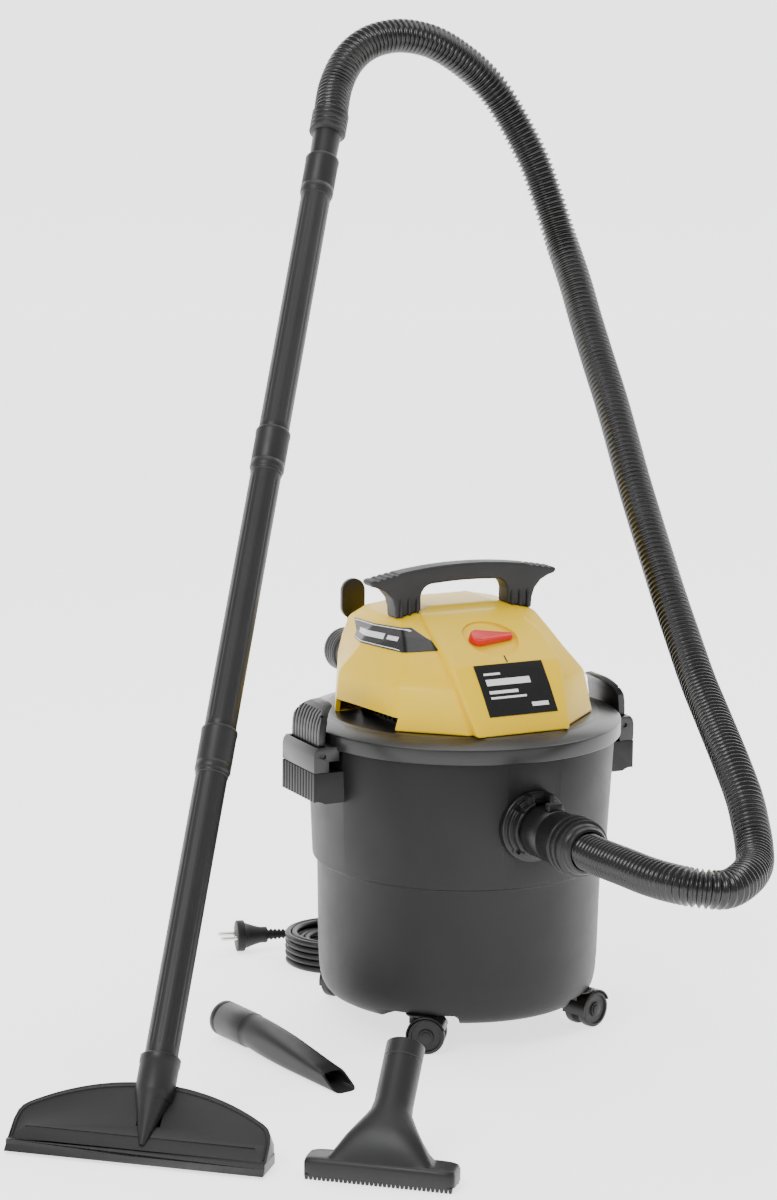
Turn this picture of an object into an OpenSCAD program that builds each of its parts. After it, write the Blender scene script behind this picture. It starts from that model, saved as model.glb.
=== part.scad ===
// Wet and dry shop vacuum: a 20 litre tank on four casters, a latched motor head, a corrugated hose,
// a three-piece wand with a floor nozzle, and two loose tools. Millimetres, +Z up, front (inlet) is -Y.
// The origin is on the tank's axis, on the floor.

/* [Tank] */
// Outer radius of the tank at its rim
tank_rim_r = 162; // [160:1:163]
// Height of the tank's rim above the floor
tank_rim_z = 319; // [317:1:320]
// Outer radius just above the step
step_upper_r = 155; // [153:1:157]
// Outer radius just below the step
step_lower_r = 150; // [147:1:152]
// Height of the step
step_z = 176; // [170:1:182]
// Height of the tank's underside
tank_base_z = 30; // [29:1:32]
// Wall thickness of the tank
tank_wall = 3; // [2.5:0.5:3]
// Height of the inlet's axis
inlet_z = 243; // [236:1:248]

/* [Casters] */
// Distance of each swivel axis from the tank's axis
caster_circle_r = 136; // [132:1:138]
// Radius of a caster wheel
wheel_r = 19; // [17:0.5:19]
// Width of one of a caster's two wheels
wheel_w = 10; // [8:0.5:11]
// Distance from the swivel axis to the wheel's axle
caster_trail = 10; // [8:1:11]

/* [Head] */
// Outer radius of the lid
lid_r = 168; // [167:1:170]
// Height of the lid's outer edge
lid_edge_z = 327; // [326:1:328]
// Height of the face that the yellow cover stands on
lid_top_z = 334; // [333:1:335]
// Height of the cover's flat top
cover_top_z = 441; // [438:1:444]
// Thickness of the cover's shell
cover_wall = 3; // [2:0.5:3.5]
// Half the length of the carry handle
handle_half = 109; // [104:1:112]
// Depth of the carry handle, front to back
handle_depth = 22; // [20:1:26]
// Height of the handle's top
handle_top_z = 488; // [484:1:492]

/* [Hose and wand] */
// Outer radius of the corrugated hose
hose_r = 19; // [18:0.5:19.5]
// Outer radius of a wand tube
wand_r = 16; // [15:0.5:16.5]
// Outer radius of a wand tube's socket
wand_socket_r = 18; // [17.5:0.5:18.5]
// Wall thickness of the wand tubes
wand_wall = 2; // [1.5:0.5:2]

/* [Power cord] */
// Diameter of the cord
cord_d = 7; // [6.5:0.5:7.5]
// Diameter of the coil at the middle of its turns
coil_mid_d = 84; // [76:1:88]
// Width of the coil's bundle of turns
coil_section = 28; // [26:1:28]

/* [Hidden] */
$fn = 64;
hull_fn = 32;
gap = 0.3;
running = 0.06;

// ---- tank ----
well_r = 43;
well_roof_z = 41;
stem_r = 5;
stem_top_z = 61;
fork_top_z = 40.5;
box_out_x = 189;
box_half_y = 38;
box_low_z = 256;
box_split_z = 289;
pivot_x = 178;
pivot_z = 306;
port_bore_r = 27;
flange_r = 37;
tank_face_y = -157;

function tank_r(z) = z > step_z
    ? step_upper_r + (tank_rim_r - step_upper_r) * (z - step_z) / (tank_rim_z - step_z)
    : step_lower_r - 2 * (step_z - z) / (step_z - 75);

module tank_profile(inset) {
    polygon([[0, tank_base_z + inset], [step_lower_r - 20 - inset, tank_base_z + inset],
             [step_lower_r - 10 - inset, tank_base_z + 6 + inset], [step_lower_r - 4 - inset, tank_base_z + 20 + inset],
             [step_lower_r - 2 - inset, 75], [step_lower_r - inset, step_z - 1 + inset * 0.56],
             [step_upper_r - inset, step_z + 2 + inset * 0.56], [tank_rim_r - inset, tank_rim_z],
             [0, tank_rim_z]]);
}

module at_casters() {
    for (i = [0 : 3])
        rotate([0, 0, 225 + 90 * i]) translate([caster_circle_r, 0, 0]) children();
}

module at_sides() {
    for (side = [0 : 1]) rotate([0, 0, 180 * side]) children();
}

module latch_pocket() {
    translate([163, -30, box_low_z + 9]) cube([box_out_x - 166, 60, 60]);
}

module latch_box_tank() {
    difference() {
        translate([140, -box_half_y, box_low_z])
            cube([box_out_x - 140, 2 * box_half_y, box_split_z - 0.5 - box_low_z]);
        translate([0, 0, box_low_z - 20]) rotate([90, 0, 0])
            translate([box_out_x - 3, 6, -60]) cylinder(r = 17, h = 120);
        latch_pocket();
        for (i = [-5 : 5])
            translate([box_out_x, i * 6.6, 240]) cylinder(r = 1.2, h = 80, $fn = 24);
    }
}

module tank() {
    color([0.16, 0.16, 0.17]) difference() {
        union() {
            difference() {
                rotate_extrude() tank_profile(0);
                rotate_extrude() tank_profile(tank_wall);
                translate([0, 0, tank_rim_z - 1]) cylinder(r = tank_rim_r - tank_wall, h = 5);
            }
            intersection() {
                at_casters() cylinder(r = well_r + tank_wall, h = well_roof_z + tank_wall);
                rotate_extrude() tank_profile(0.5);
            }
            at_casters() translate([0, 0, well_roof_z + 1]) cylinder(r = 12, h = 23);
            difference() {
                at_sides() latch_box_tank();
                translate([0, 0, 200]) cylinder(r = tank_r(280) - 1, h = 150);
            }
        }
        at_casters() translate([0, 0, -1]) cylinder(r = well_r, h = well_roof_z + 1);
        at_casters() translate([0, 0, well_roof_z - 1]) cylinder(r = stem_r + running, h = 22);
        translate([0, 0, inlet_z]) rotate([90, 0, 0]) cylinder(r = port_bore_r + 2, h = 200);
    }
}

// ---- inlet ----
module along_front(y, z = inlet_z) {
    translate([0, y, z]) rotate([90, 0, 0]) children();
}

module tank_cone(inset) {
    translate([0, 0, step_z + 2]) cylinder(r1 = step_upper_r - inset, r2 = tank_rim_r - inset, h = tank_rim_z - step_z - 2);
}

module inlet_port() {
    color([0.12, 0.12, 0.13]) difference() {
        union() {
            along_front(-148) cylinder(r = port_bore_r + 2 - 0.05, h = 30);
            difference() {
                union() {
                    along_front(-150) cylinder(r = flange_r, h = 12.5);
                    along_front(-162.5) cylinder(r = flange_r - 4, h = 6);
                    along_front(-168.5) cylinder(r = flange_r - 7, h = 9.5);
                    translate([-14, -176, inlet_z + 26]) cube([28, 18, 9]);
                }
                tank_cone(0);
            }
        }
        along_front(-140) cylinder(r = port_bore_r - 0.5, h = 60);
        translate([-8.5, -180, inlet_z + 19]) cube([17, 14, 21]);
        tank_cone(tank_wall);
        for (a = [45, 135, 225, 315]) {
            along_front(-150) rotate([0, 0, a]) translate([flange_r - 5, 0, 0]) cylinder(r = 1.6, h = 30, $fn = 24);
            along_front(-162.5) rotate([0, 0, a]) translate([flange_r - 5, 0, 0]) cylinder(r = 3.3, h = 30, $fn = 24);
        }
    }
}

module inlet_gasket() {
    color([0.05, 0.05, 0.05]) difference() {
        along_front(-148) cylinder(r = port_bore_r - 0.5, h = 16);
        along_front(-147) cylinder(r = port_bore_r - 3, h = 20);
        tank_cone(tank_wall);
    }
}

module inlet_deflector() {
    color([0.1, 0.1, 0.1]) intersection() {
        difference() {
            along_front(-101) cylinder(r = 36, h = 60);
            along_front(-104) cylinder(r = 33, h = 60);
            translate([-40, -170, inlet_z - 40]) cube([80, 66, 28]);
        }
        tank_cone(tank_wall + 0.08);
    }
}

module inlet_screws() {
    color([0.6, 0.6, 0.62])
        for (a = [45, 135, 225, 315])
            along_front(-159) rotate([0, 0, a]) translate([flange_r - 5, 0, 0]) union() {
                cylinder(r = 1.6, h = 3.5, $fn = 24);
                translate([0, 0, 3.5]) cylinder(r = 3, h = 1.4);
            }
}

// ---- casters ----
caster_heading = [-35, 20, -60, 30];
function caster_at(i) = [caster_circle_r * cos(225 + 90 * i), caster_circle_r * sin(225 + 90 * i), 0];

module at_caster(i) {
    translate(caster_at(i)) rotate([0, 0, caster_heading[i]]) children();
}

module caster_fork(i) {
    color([0.14, 0.12, 0.11]) at_caster(i) difference() {
        union() {
            translate([0, 0, fork_top_z - 1.9]) cylinder(r = 13, h = 1.9);
            translate([0, 0, fork_top_z - 0.1]) cylinder(r = stem_r, h = stem_top_z - fork_top_z);
            translate([0, 4, wheel_r]) rotate([90, 0, 0]) cylinder(r = 7, h = 8);
            translate([-9, -3, 17]) cube([22, 6, fork_top_z - 17]);
            translate([caster_trail, 4, wheel_r]) rotate([90, 0, 0]) cylinder(r = 7, h = 8);
            difference() {
                translate([caster_trail, 3.6, wheel_r]) rotate([90, 0, 0]) cylinder(r = wheel_r + 0.5, h = 7.2);
                translate([-40, -10, -1]) cube([80, 20, wheel_r]);
            }
        }
        translate([caster_trail, 10, wheel_r]) rotate([90, 0, 0]) cylinder(r = 2.5 + running, h = 20);
    }
}

module caster_wheels(i) {
    color([0.1, 0.1, 0.1]) at_caster(i)
        for (side = [-1, 1])
            translate([caster_trail, side * (wheel_w / 2 + 4.4), wheel_r]) rotate([90, 0, 0]) difference() {
                rotate_extrude() polygon([[0, -wheel_w / 2], [wheel_r - 1.5, -wheel_w / 2],
                    [wheel_r, -wheel_w / 2 + 1.5], [wheel_r, wheel_w / 2 - 1.5],
                    [wheel_r - 1.5, wheel_w / 2], [0, wheel_w / 2]]);
                translate([0, 0, side * -(wheel_w / 2)]) rotate_extrude()
                    polygon([[8, -2], [wheel_r - 4, -2], [wheel_r - 4, 2], [8, 2]]);
                cylinder(r = 2.5, h = 3 * wheel_w, center = true);
            }
}

module caster_axle(i) {
    axle_half = wheel_w + 5;
    color([0.7, 0.7, 0.72]) at_caster(i)
        translate([caster_trail, axle_half, wheel_r]) rotate([90, 0, 0]) cylinder(r = 2.5, h = 2 * axle_half);
}

// ---- head: lid, cover and fittings ----
lid_wall = 3;
skirt_low_z = 311;
motor_eye_r = 76;
cover_bottom = [[56, -138], [116, -75], [131, 35], [90, 116], [82, 128]];
cover_shoulder = [[57, -112], [110, -68], [127, 33], [90, 112], [80, 124]];
cover_brow = [[58, -97], [93, -63], [108, 30], [88, 106], [78, 118]];
cover_upper = [[60, -62], [84, -40], [92, 30], [84, 98], [76, 108]];
cover_crown = [[68, -26], [79, -24], [82, 20], [78, 74], [70, 84]];
cover_plateau = [[34, 2], [38, 6], [38, 58], [34, 62], [30, 62]];
cover_levels = [lid_top_z + 0.2, 378, 400, 421, cover_top_z - 6, cover_top_z + 4];
cover_shapes = [cover_bottom, cover_shoulder, cover_brow, cover_upper, cover_crown, cover_plateau];

function mirrored(half) = concat(half, [for (i = [len(half) - 1 : -1 : 0]) [-half[i][0], half[i][1]]]);

module cover_form(inset, drop) {
    hull()
        for (k = [0 : len(cover_levels) - 1])
            translate([0, 0, cover_levels[k] - (k == 0 ? 0 : drop)])
                linear_extrude(0.2) offset(delta = -inset) polygon(mirrored(cover_shapes[k]));
}

function lid_under(r) = lid_top_z - lid_wall - (r - 140) * (lid_top_z - lid_wall - lid_edge_z + 4) / (lid_r - 3.2 - 140);

module head_base() {
    color([0.1, 0.1, 0.11]) difference() {
        union() {
            rotate_extrude() polygon([[motor_eye_r, lid_top_z - lid_wall], [140, lid_top_z - lid_wall],
                [lid_r - 3.2, lid_edge_z - 4], [lid_r - 3.2, skirt_low_z], [lid_r, skirt_low_z],
                [lid_r, lid_edge_z - 1], [lid_r - 1, lid_edge_z], [146, lid_top_z - 1], [140, lid_top_z],
                [motor_eye_r, lid_top_z]]);
            at_sides() difference() {
                translate([160, -box_half_y, box_split_z]) cube([box_out_x - 160, 2 * box_half_y, 26]);
                translate([150, -box_half_y - 1, box_split_z - 1]) cube([22, 2 * box_half_y + 2, 11]);
                translate([171.5, -33, box_split_z - 1]) cube([13.5, 66, 40]);
                translate([box_out_x - 4, -box_half_y - 1, 311]) cube([5, 2 * box_half_y + 2, 10]);
                translate([0, 0, 280]) cylinder(r = lid_r - 3.2, h = 45);
            }
        }
        at_sides() translate([pivot_x, 50, pivot_z]) rotate([90, 0, 0]) cylinder(r = 2.5, h = 100);
        for (a = [30, 90, 150, 210, 270, 330])
            rotate([0, 0, a]) translate([motor_eye_r + 8, 0, 300]) cylinder(r = 1.8, h = 60, $fn = 24);
    }
}

module lid_seal() {
    color([0.2, 0.2, 0.2]) rotate_extrude()
        polygon([[tank_rim_r - 6, tank_rim_z + gap], [tank_rim_r + 0.5, tank_rim_z + gap],
                 [tank_rim_r + 0.5, lid_under(tank_rim_r + 0.5)], [tank_rim_r - 6, lid_under(tank_rim_r - 6)]]);
}

switch_tilt = 27;
switch_at = [0, -62, 421];
module on_switch_axis() {
    translate(switch_at) rotate([switch_tilt, 0, 0]) children();
}

blower_x = -62;
blower_z = 373;
module at_blower(y) {
    translate([blower_x, y, blower_z]) rotate([-90, 0, 0]) children();
}

gland_x = 40;
gland_z = 366;

module head_cover() {
    color([0.93, 0.74, 0.08]) difference() {
        cover_form(0, 0);
        difference() {
            cover_form(cover_wall, cover_wall);
            on_switch_axis() translate([0, 0, -8]) cylinder(r = 33, h = 20);
        }
        on_switch_axis() translate([0, 0, -5]) cylinder(r = 30, h = 20);
        on_switch_axis() translate([0, 0, -20]) cylinder(r = 5 + running, h = 30);
        for (side = [-1, 1])
            translate([side * 130 - 30, -74, lid_top_z - 1]) cube([60, 108, 15]);
        at_blower(90) cylinder(r = 22, h = 60);
        translate([gland_x, 90, gland_z]) rotate([-90, 0, 0]) cylinder(r = 6, h = 60);
        for (x = [-66, 66])
            translate([x, 5, 400]) cylinder(r = 2.1, h = 60, $fn = 24);
    }
}

module cover_screws() {
    color([0.55, 0.55, 0.57])
        for (a = [30, 90, 150, 210, 270, 330])
            rotate([0, 0, a]) translate([motor_eye_r + 8, 0, lid_top_z - 13]) union() {
                cylinder(r = 1.8, h = 13, $fn = 24);
                translate([0, 0, 13]) cylinder(r = 3.4, h = 1.8);
            }
}

module label_film() {
    difference() {
        intersection() {
            translate([0, 0, 0.7]) cover_form(-0.7, 0);
            children();
        }
        cover_form(0, 0);
    }
}

module front_panel() {
    color([0.06, 0.06, 0.06]) label_film()
        translate([0, -60, 0]) rotate([90, 0, 0]) linear_extrude(100)
            polygon([[-35, 352], [44, 352], [40, 399.5], [-39, 399.5]]);
}

module side_label() {
    color([0.06, 0.06, 0.06]) label_film()
        translate([-60, 0, 0]) rotate([90, 0, -90]) linear_extrude(60)
            polygon([[-80, 423], [24, 430], [66, 412], [40, 407.5], [-57, 405.5]]);
}

module vent_grille() {
    color([0.05, 0.05, 0.05])
        for (side = [-1, 1])
            difference() {
                translate([side * 99 - 2, -72, lid_top_z]) cube([4, 104, 13.6]);
                for (i = [0 : 9])
                    translate([side * 99 - 4, -67 + 10 * i, lid_top_z + 3]) cube([8, 6, 8]);
            }
}

// ---- carry handle ----
handle_y = 6;
leg_in = 51;
leg_out = 80;
grip_low_z = 469;
tip_z = 472;

function arc(cx, cz, r, a0, a1, n) = [for (i = [0 : n]) [cx + r * cos(a0 + (a1 - a0) * i / n), cz + r * sin(a0 + (a1 - a0) * i / n)]];

grip_arc_r = (handle_half * handle_half + pow(handle_top_z - tip_z - 4, 2)) / (2 * (handle_top_z - tip_z - 4));
grip_arc_half = asin(handle_half / grip_arc_r);
module handle_outline() {
    difference() {
        polygon(concat([[-handle_half, tip_z], [-leg_out - 20, tip_z - 3], [-leg_out - 4, 458], [-leg_out, cover_top_z - 6],
            [leg_out, cover_top_z - 6], [leg_out + 4, 458], [leg_out + 20, tip_z - 3], [handle_half, tip_z]],
            arc(0, handle_top_z - grip_arc_r, grip_arc_r, 90 - grip_arc_half, 90 + grip_arc_half, 16)));
        polygon(concat([[leg_in, cover_top_z - 10]], arc(leg_in - 14, grip_low_z - 14, 14, 0, 90, 6),
            arc(-leg_in + 14, grip_low_z - 14, 14, 90, 180, 6), [[-leg_in, cover_top_z - 10]]));
    }
}

module carry_handle() {
    color([0.2, 0.2, 0.21]) difference() {
        translate([0, handle_y + handle_depth / 2, 0]) rotate([90, 0, 0])
            linear_extrude(handle_depth) handle_outline();
        translate([0, 0, 0.05]) cover_form(-0.05, 0);
        for (x = [-66, 66])
            translate([x, 5, 420]) cylinder(r = 2.1, h = 34, $fn = 24);
    }
}

module handle_screws() {
    color([0.6, 0.6, 0.62])
        for (x = [-66, 66])
            translate([x, 5, 418]) union() {
                cylinder(r = 4, h = 2.4);
                cylinder(r = 2.1, h = 36, $fn = 24);
            }
}

// ---- blower port, cord hook and gland ----
module blower_port() {
    color([0.2, 0.2, 0.21]) difference() {
        union() {
            at_blower(98) cylinder(r = 21.9, h = 56);
            at_blower(131) cylinder(r = 23.5, h = 24);
        }
        at_blower(90) cylinder(r = 17.5, h = 80);
    }
}

module cord_hook() {
    color([0.08, 0.08, 0.08]) difference() {
        union() {
            translate([blower_x - 5, 100, blower_z + 25.1]) cube([10, 31, 5]);
            translate([blower_x - 5, 131, blower_z + 25.1]) cube([10, 5, 26]);
            for (z = [50, 67])
                translate([blower_x, 136, blower_z + z]) rotate([90, 0, 0]) cylinder(r = 13.5, h = 5);
            translate([blower_x - 13.5, 131, blower_z + 50]) cube([27, 5, 17]);
        }
        translate([0, 0, 0.05]) cover_form(-0.05, 0);
    }
}

module cord_gland() {
    color([0.06, 0.06, 0.06]) translate([gland_x, 0, gland_z]) rotate([-90, 0, 0]) union() {
        translate([0, 0, 110]) cylinder(r = 9, h = 5);
        translate([0, 0, 112]) cylinder(r = 5.9, h = 22);
        translate([0, 0, 128]) cylinder(r1 = 8, r2 = 5, h = 44);
    }
}

// ---- motor, fan and switch ----
module fan_housing() {
    color([0.25, 0.25, 0.26]) difference() {
        union() {
            translate([0, 0, 318]) cylinder(r = 75.5, h = 36);
            translate([0, 0, lid_top_z]) cylinder(r = 79.5, h = 3);
        }
        translate([0, 0, 321]) cylinder(r = 72, h = 30);
        translate([0, 0, 310]) cylinder(r = 22, h = 20);
        translate([0, 0, 340]) cylinder(r = 10, h = 30);
        for (a = [0 : 45 : 315])
            rotate([0, 0, a]) translate([62, 0, 348]) cylinder(r = 6, h = 20);
    }
}

module motor_can() {
    color([0.55, 0.55, 0.57]) difference() {
        translate([0, 0, 354]) cylinder(r = 44, h = 60);
        translate([0, 0, 357]) cylinder(r = 41, h = 54);
        translate([0, 0, 340]) cylinder(r = 4 + running, h = 90);
        for (a = [0 : 60 : 300])
            rotate([0, 0, a]) translate([28, 0, 408]) cylinder(r = 6, h = 10);
    }
}

module motor_stator() {
    color([0.45, 0.3, 0.2]) difference() {
        translate([0, 0, 364]) cylinder(r = 41, h = 34);
        translate([0, 0, 360]) cylinder(r = 26.5, h = 50);
    }
}

module motor_rotor() {
    color([0.7, 0.45, 0.25]) union() {
        translate([0, 0, 326]) cylinder(r = 4, h = 93);
        translate([0, 0, 366]) cylinder(r = 25.5, h = 30);
        translate([0, 0, 398]) cylinder(r = 12, h = 9);
    }
}

module fan_impeller() {
    color([0.75, 0.76, 0.78]) difference() {
        union() {
            translate([0, 0, 328]) cylinder(r = 66, h = 1.5);
            translate([0, 0, 341]) cylinder(r = 66, h = 1.5);
            translate([0, 0, 328]) cylinder(r = 9, h = 14.5);
            for (a = [0 : 36 : 324])
                rotate([0, 0, a]) translate([24, 0, 329]) rotate([0, 0, 28]) cube([38, 1.5, 12.5]);
        }
        difference() {
            translate([0, 0, 327]) cylinder(r = 21, h = 3);
            translate([0, 0, 326]) cylinder(r = 9, h = 5);
        }
        translate([0, 0, 320]) cylinder(r = 4, h = 40);
    }
}

module switch_body() {
    color([0.1, 0.1, 0.1]) on_switch_axis() difference() {
        translate([-13, -8, -22]) cube([26, 15, 14]);
        translate([0, 0, -20]) cylinder(r = 3 + running, h = 30);
    }
}

module switch_knob() {
    color([0.78, 0.08, 0.1]) on_switch_axis() union() {
        translate([0, 0, -18.5]) cylinder(r = 3, h = 16.5);
        translate([0, 0, -8]) cylinder(r = 5, h = 6);
        hull() {
            translate([-15, 0, -4.5]) cylinder(r = 9, h = 9, $fn = hull_fn);
            translate([23, 0, -4.5]) cylinder(r = 3, h = 6, $fn = hull_fn);
        }
    }
}

// ---- float, filter ----
module float_cage() {
    color([0.12, 0.12, 0.12]) difference() {
        union() {
            translate([0, 0, 210]) cylinder(r = 48, h = 108);
            translate([0, 0, 312]) cylinder(r = 75.5, h = 6);
        }
        translate([0, 0, 213]) cylinder(r = 45, h = 99);
        translate([0, 0, 300]) cylinder(r = 18, h = 30);
        for (a = [0 : 45 : 315])
            rotate([0, 0, a]) translate([30, -12, 222]) cube([30, 24, 80]);
    }
}

module float_ball() {
    color([0.85, 0.85, 0.8]) translate([0, 0, 213 + gap + 24]) sphere(r = 24);
}

module foam_filter() {
    color([0.15, 0.15, 0.16]) difference() {
        translate([0, 0, 212]) cylinder(r = 58, h = 100);
        translate([0, 0, 200]) cylinder(r = 48.2, h = 120);
    }
}

// ---- latches: a lever on each side of the lid that reaches down into the tank's box ----
module latch_profile() {
    polygon([[174.5, 284], [180.5, 284], [181, 312], [181, 322], [180, 336], [176, 347], [169, 354], [161, 357],
             [159, 353], [166, 349], [171, 342], [173, 334], [174, 318]]);
}

module latch_lever() {
    color([0.13, 0.13, 0.14]) difference() {
        union() {
            intersection() {
                translate([0, 32, 0]) rotate([90, 0, 0]) linear_extrude(64) latch_profile();
                union() {
                    translate([130, 0, 322]) rotate([0, 90, 0]) cylinder(r = 36, h = 60);
                    translate([140, -26, 278]) cube([60, 52, 45]);
                }
            }
            translate([pivot_x, 30, pivot_z]) rotate([90, 0, 0]) cylinder(r = 5.4, h = 60);
        }
        translate([pivot_x, 40, pivot_z]) rotate([90, 0, 0]) cylinder(r = 2.5 + running, h = 80);
        for (i = [-4 : 4])
            translate([182, i * 6.4, 311]) cylinder(r = 1.8, h = 40, $fn = 24);
    }
}

module latch_left() { rotate([0, 0, 180]) latch_lever(); }
module latch_right() { latch_lever(); }

module latch_pin() {
    color([0.7, 0.7, 0.72]) translate([pivot_x, 36, pivot_z]) rotate([90, 0, 0]) cylinder(r = 2.5, h = 72);
}

module latch_pin_left() { rotate([0, 0, 180]) latch_pin(); }
module latch_pin_right() { latch_pin(); }

// ---- hose cuff, hose and wand ----
cuff_end_y = -270;
tab_pivot_y = -190;
tab_pivot_z = inlet_z + 22.5;
tab_pin_r = 1.5;
module tab_pin(r, half) {
    translate([-half, tab_pivot_y, tab_pivot_z]) rotate([0, 90, 0]) cylinder(r = r, h = 2 * half, $fn = 24);
}

module hose_cuff() {
    color([0.1, 0.1, 0.1]) difference() {
        union() {
            along_front(-152) cylinder(r = port_bore_r - 3, h = 100);
            along_front(-179) cylinder(r = port_bore_r, h = 60);
            along_front(-236) cylinder(r = 30, h = 34);
            for (a = [0 : 20 : 340])
                along_front(-240) rotate([0, 0, a]) translate([30, 0, 0]) cylinder(r = 1.4, h = 26, $fn = 24);
        }
        along_front(-150) cylinder(r = 16.5, h = 100);
        along_front(-246) cylinder(r = hose_r + 0.2, h = 40);
        translate([-8.5, -207, inlet_z + 18.5]) cube([17, 60, 14]);
        tab_pin(tab_pin_r + running, 10.5);
    }
}

module release_tab() {
    color([0.12, 0.12, 0.12]) union() {
        translate([-7.5, -204, inlet_z + 21]) cube([15, 31, 3.5]);
        translate([-7.5, -204, inlet_z + 21]) cube([15, 9, 12]);
        tab_pin(tab_pin_r, 10);
    }
}

function unit(v) = v / norm(v);
function blend_point(a, b, c, d, t) =
    0.5 * (2 * b + (c - a) * t + (2 * a - 5 * b + 4 * c - d) * t * t + (3 * b - a - 3 * c + d) * t * t * t);
function route_point(p, i) = p[max(0, min(len(p) - 1, i))];
function smooth(p, n) = concat(
    [for (i = [0 : len(p) - 2], k = [0 : n - 1])
        blend_point(route_point(p, i - 1), p[i], p[i + 1], route_point(p, i + 2), k / n)],
    [p[len(p) - 1]]);
function tangent(p, i) = unit(route_point(p, i + 1) - route_point(p, i - 1));
function carried(p, i, side) = unit(side - (side * tangent(p, i)) * tangent(p, i));
function sides_of(p, i, side) = i >= len(p) ? [] : concat([carried(p, i, side)], sides_of(p, i + 1, carried(p, i, side)));

module swept_tube(p, r, n, side) {
    across = sides_of(p, 0, side);
    rings = [for (i = [0 : len(p) - 1], k = [0 : n - 1])
        p[i] + r * (cos(360 * k / n) * across[i] + sin(360 * k / n) * cross(tangent(p, i), across[i]))];
    walls = [for (i = [0 : len(p) - 2], k = [0 : n - 1])
        [(i + 1) * n + k, (i + 1) * n + (k + 1) % n, i * n + (k + 1) % n, i * n + k]];
    first = [for (k = [0 : n - 1]) k];
    last = [for (k = [n - 1 : -1 : 0]) (len(p) - 1) * n + k];
    polyhedron(points = rings, faces = concat([first], walls, [last]));
}

wand_foot = [-443, -235, 83];
wand_top = [-34, 273, 889];
wand_axis = unit(wand_top - wand_foot);
wand_length = norm(wand_top - wand_foot);
wand_lean = acos(wand_axis[2]);
wand_heading = atan2(wand_axis[1], wand_axis[0]);
end_cuff_length = 60;
hose_inset = 24;
hose_end = wand_top + wand_axis * (end_cuff_length - hose_inset);

hose_route = [[0, -246, 243], [0, -290, 243], [0, -340, 245], [2, -385, 246], [10, -422, 247], [26, -442, 246],
              [50, -446, 244], [80, -430, 247], [108, -402, 250], [126, -374, 259], [138, -348, 274],
              [150, -316, 294], [166, -264, 319], [187, -199, 344], [206, -136, 371], [220, -84, 403],
              [230, -38, 438], [236, -1, 474], [242, 37, 512], [250, 77, 549], [257, 114, 588],
              [264, 152, 627], [272, 195, 666], [278, 234, 706], [281, 267, 748], [280, 298, 791],
              [272, 316, 836], [260, 330, 880], [240, 347, 927], [217, 357, 963], [183, 361, 992],
              [145, 362, 1012], [104, 362, 1019], [66, 360, 1012], [35, 351, 993], [12, 336, 965],
              hose_end + wand_axis * 22, hose_end];

module hose() {
    color([0.05, 0.05, 0.05]) swept_tube(smooth(hose_route, 2), hose_r, 12, [1, 0, 0]);
}

module along_wand(distance) {
    translate(wand_foot + wand_axis * distance) rotate([0, 0, wand_heading]) rotate([0, wand_lean, 0]) children();
}

module hose_end_cuff() {
    color([0.12, 0.12, 0.12]) along_wand(wand_length) difference() {
        union() {
            translate([0, 0, 0.1]) cylinder(r = wand_r - 1.5, h = end_cuff_length - 0.1);
            translate([0, 0, end_cuff_length - 30]) cylinder(r = hose_r + 3, h = 30);
            translate([0, 0, -35]) cylinder(r = wand_r - wand_wall - 0.1, h = 36);
        }
        translate([0, 0, -40]) cylinder(r = wand_r - wand_wall - 2, h = 120);
        translate([0, 0, end_cuff_length - hose_inset]) cylinder(r = hose_r, h = 60);
    }
}

socket_length = 46;
module wand_tube(k) {
    color([0.1, 0.1, 0.1]) along_wand(wand_length - (k + 1) * wand_length / 3) difference() {
        union() {
            translate([0, 0, k == 2 ? -40 : 0.1]) cylinder(r = wand_r, h = wand_length / 3 - (k == 2 ? -39.9 : 0.1));
            translate([0, 0, wand_length / 3 - socket_length]) cylinder(r = wand_socket_r, h = socket_length - 0.1);
            if (k < 2) translate([0, 0, -36]) cylinder(r = wand_r - wand_wall - 0.1, h = 37);
        }
        translate([0, 0, -50]) cylinder(r = wand_r - 2 * wand_wall, h = 460);
        translate([0, 0, wand_length / 3 - socket_length + 6]) cylinder(r = wand_r - wand_wall, h = socket_length);
    }
}

// ---- floor nozzle: a half-moon fan that leans back from a straight mouth on the floor ----
mouth_half = 127;
mouth_yaw = -41.5;
mouth_at = [-492, -285, 0];
mouth_slot_half = 112;
fan_tilt = 42;
module at_mouth() {
    translate(mouth_at) rotate([0, 0, mouth_yaw]) children();
}

module half_moon(half, side_high, high) {
    arc_r = (pow(half - 11, 2) + pow(high - side_high, 2)) / (2 * (high - side_high));
    arc_half = asin((half - 11) / arc_r);
    polygon(concat([[-half, -14], [half, -14], [half, 4]],
        arc(0, high - arc_r, arc_r, 90 - arc_half, 90 + arc_half, 24), [[-half, 4]]));
}

module floor_nozzle() {
    color([0.1, 0.1, 0.1]) difference() {
        union() {
            at_mouth() difference() {
                union() {
                    translate([-mouth_half, 0, 3]) cube([2 * mouth_half, 34, 10]);
                    translate([0, 2, 10]) rotate([fan_tilt, 0, 0]) translate([0, 0, -20])
                        linear_extrude(20) half_moon(mouth_half, 44, 76);
                }
                translate([-mouth_slot_half, 9, -1]) cube([2 * mouth_slot_half, 16, 12]);
                translate([-mouth_half - 9, -60, -60]) cube([2 * mouth_half + 18, 200, 63]);
                translate([0, 8, 10]) rotate([fan_tilt, 0, 0]) translate([0, -8, -14])
                    linear_extrude(10) half_moon(mouth_half - 16, 36, 66);
            }
            along_wand(-60) cylinder(r = wand_socket_r + 1, h = 59.5);
        }
        along_wand(-42) cylinder(r = wand_r, h = 60);
        along_wand(-66) cylinder(r = wand_r - 4, h = 60);
    }
}

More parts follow.
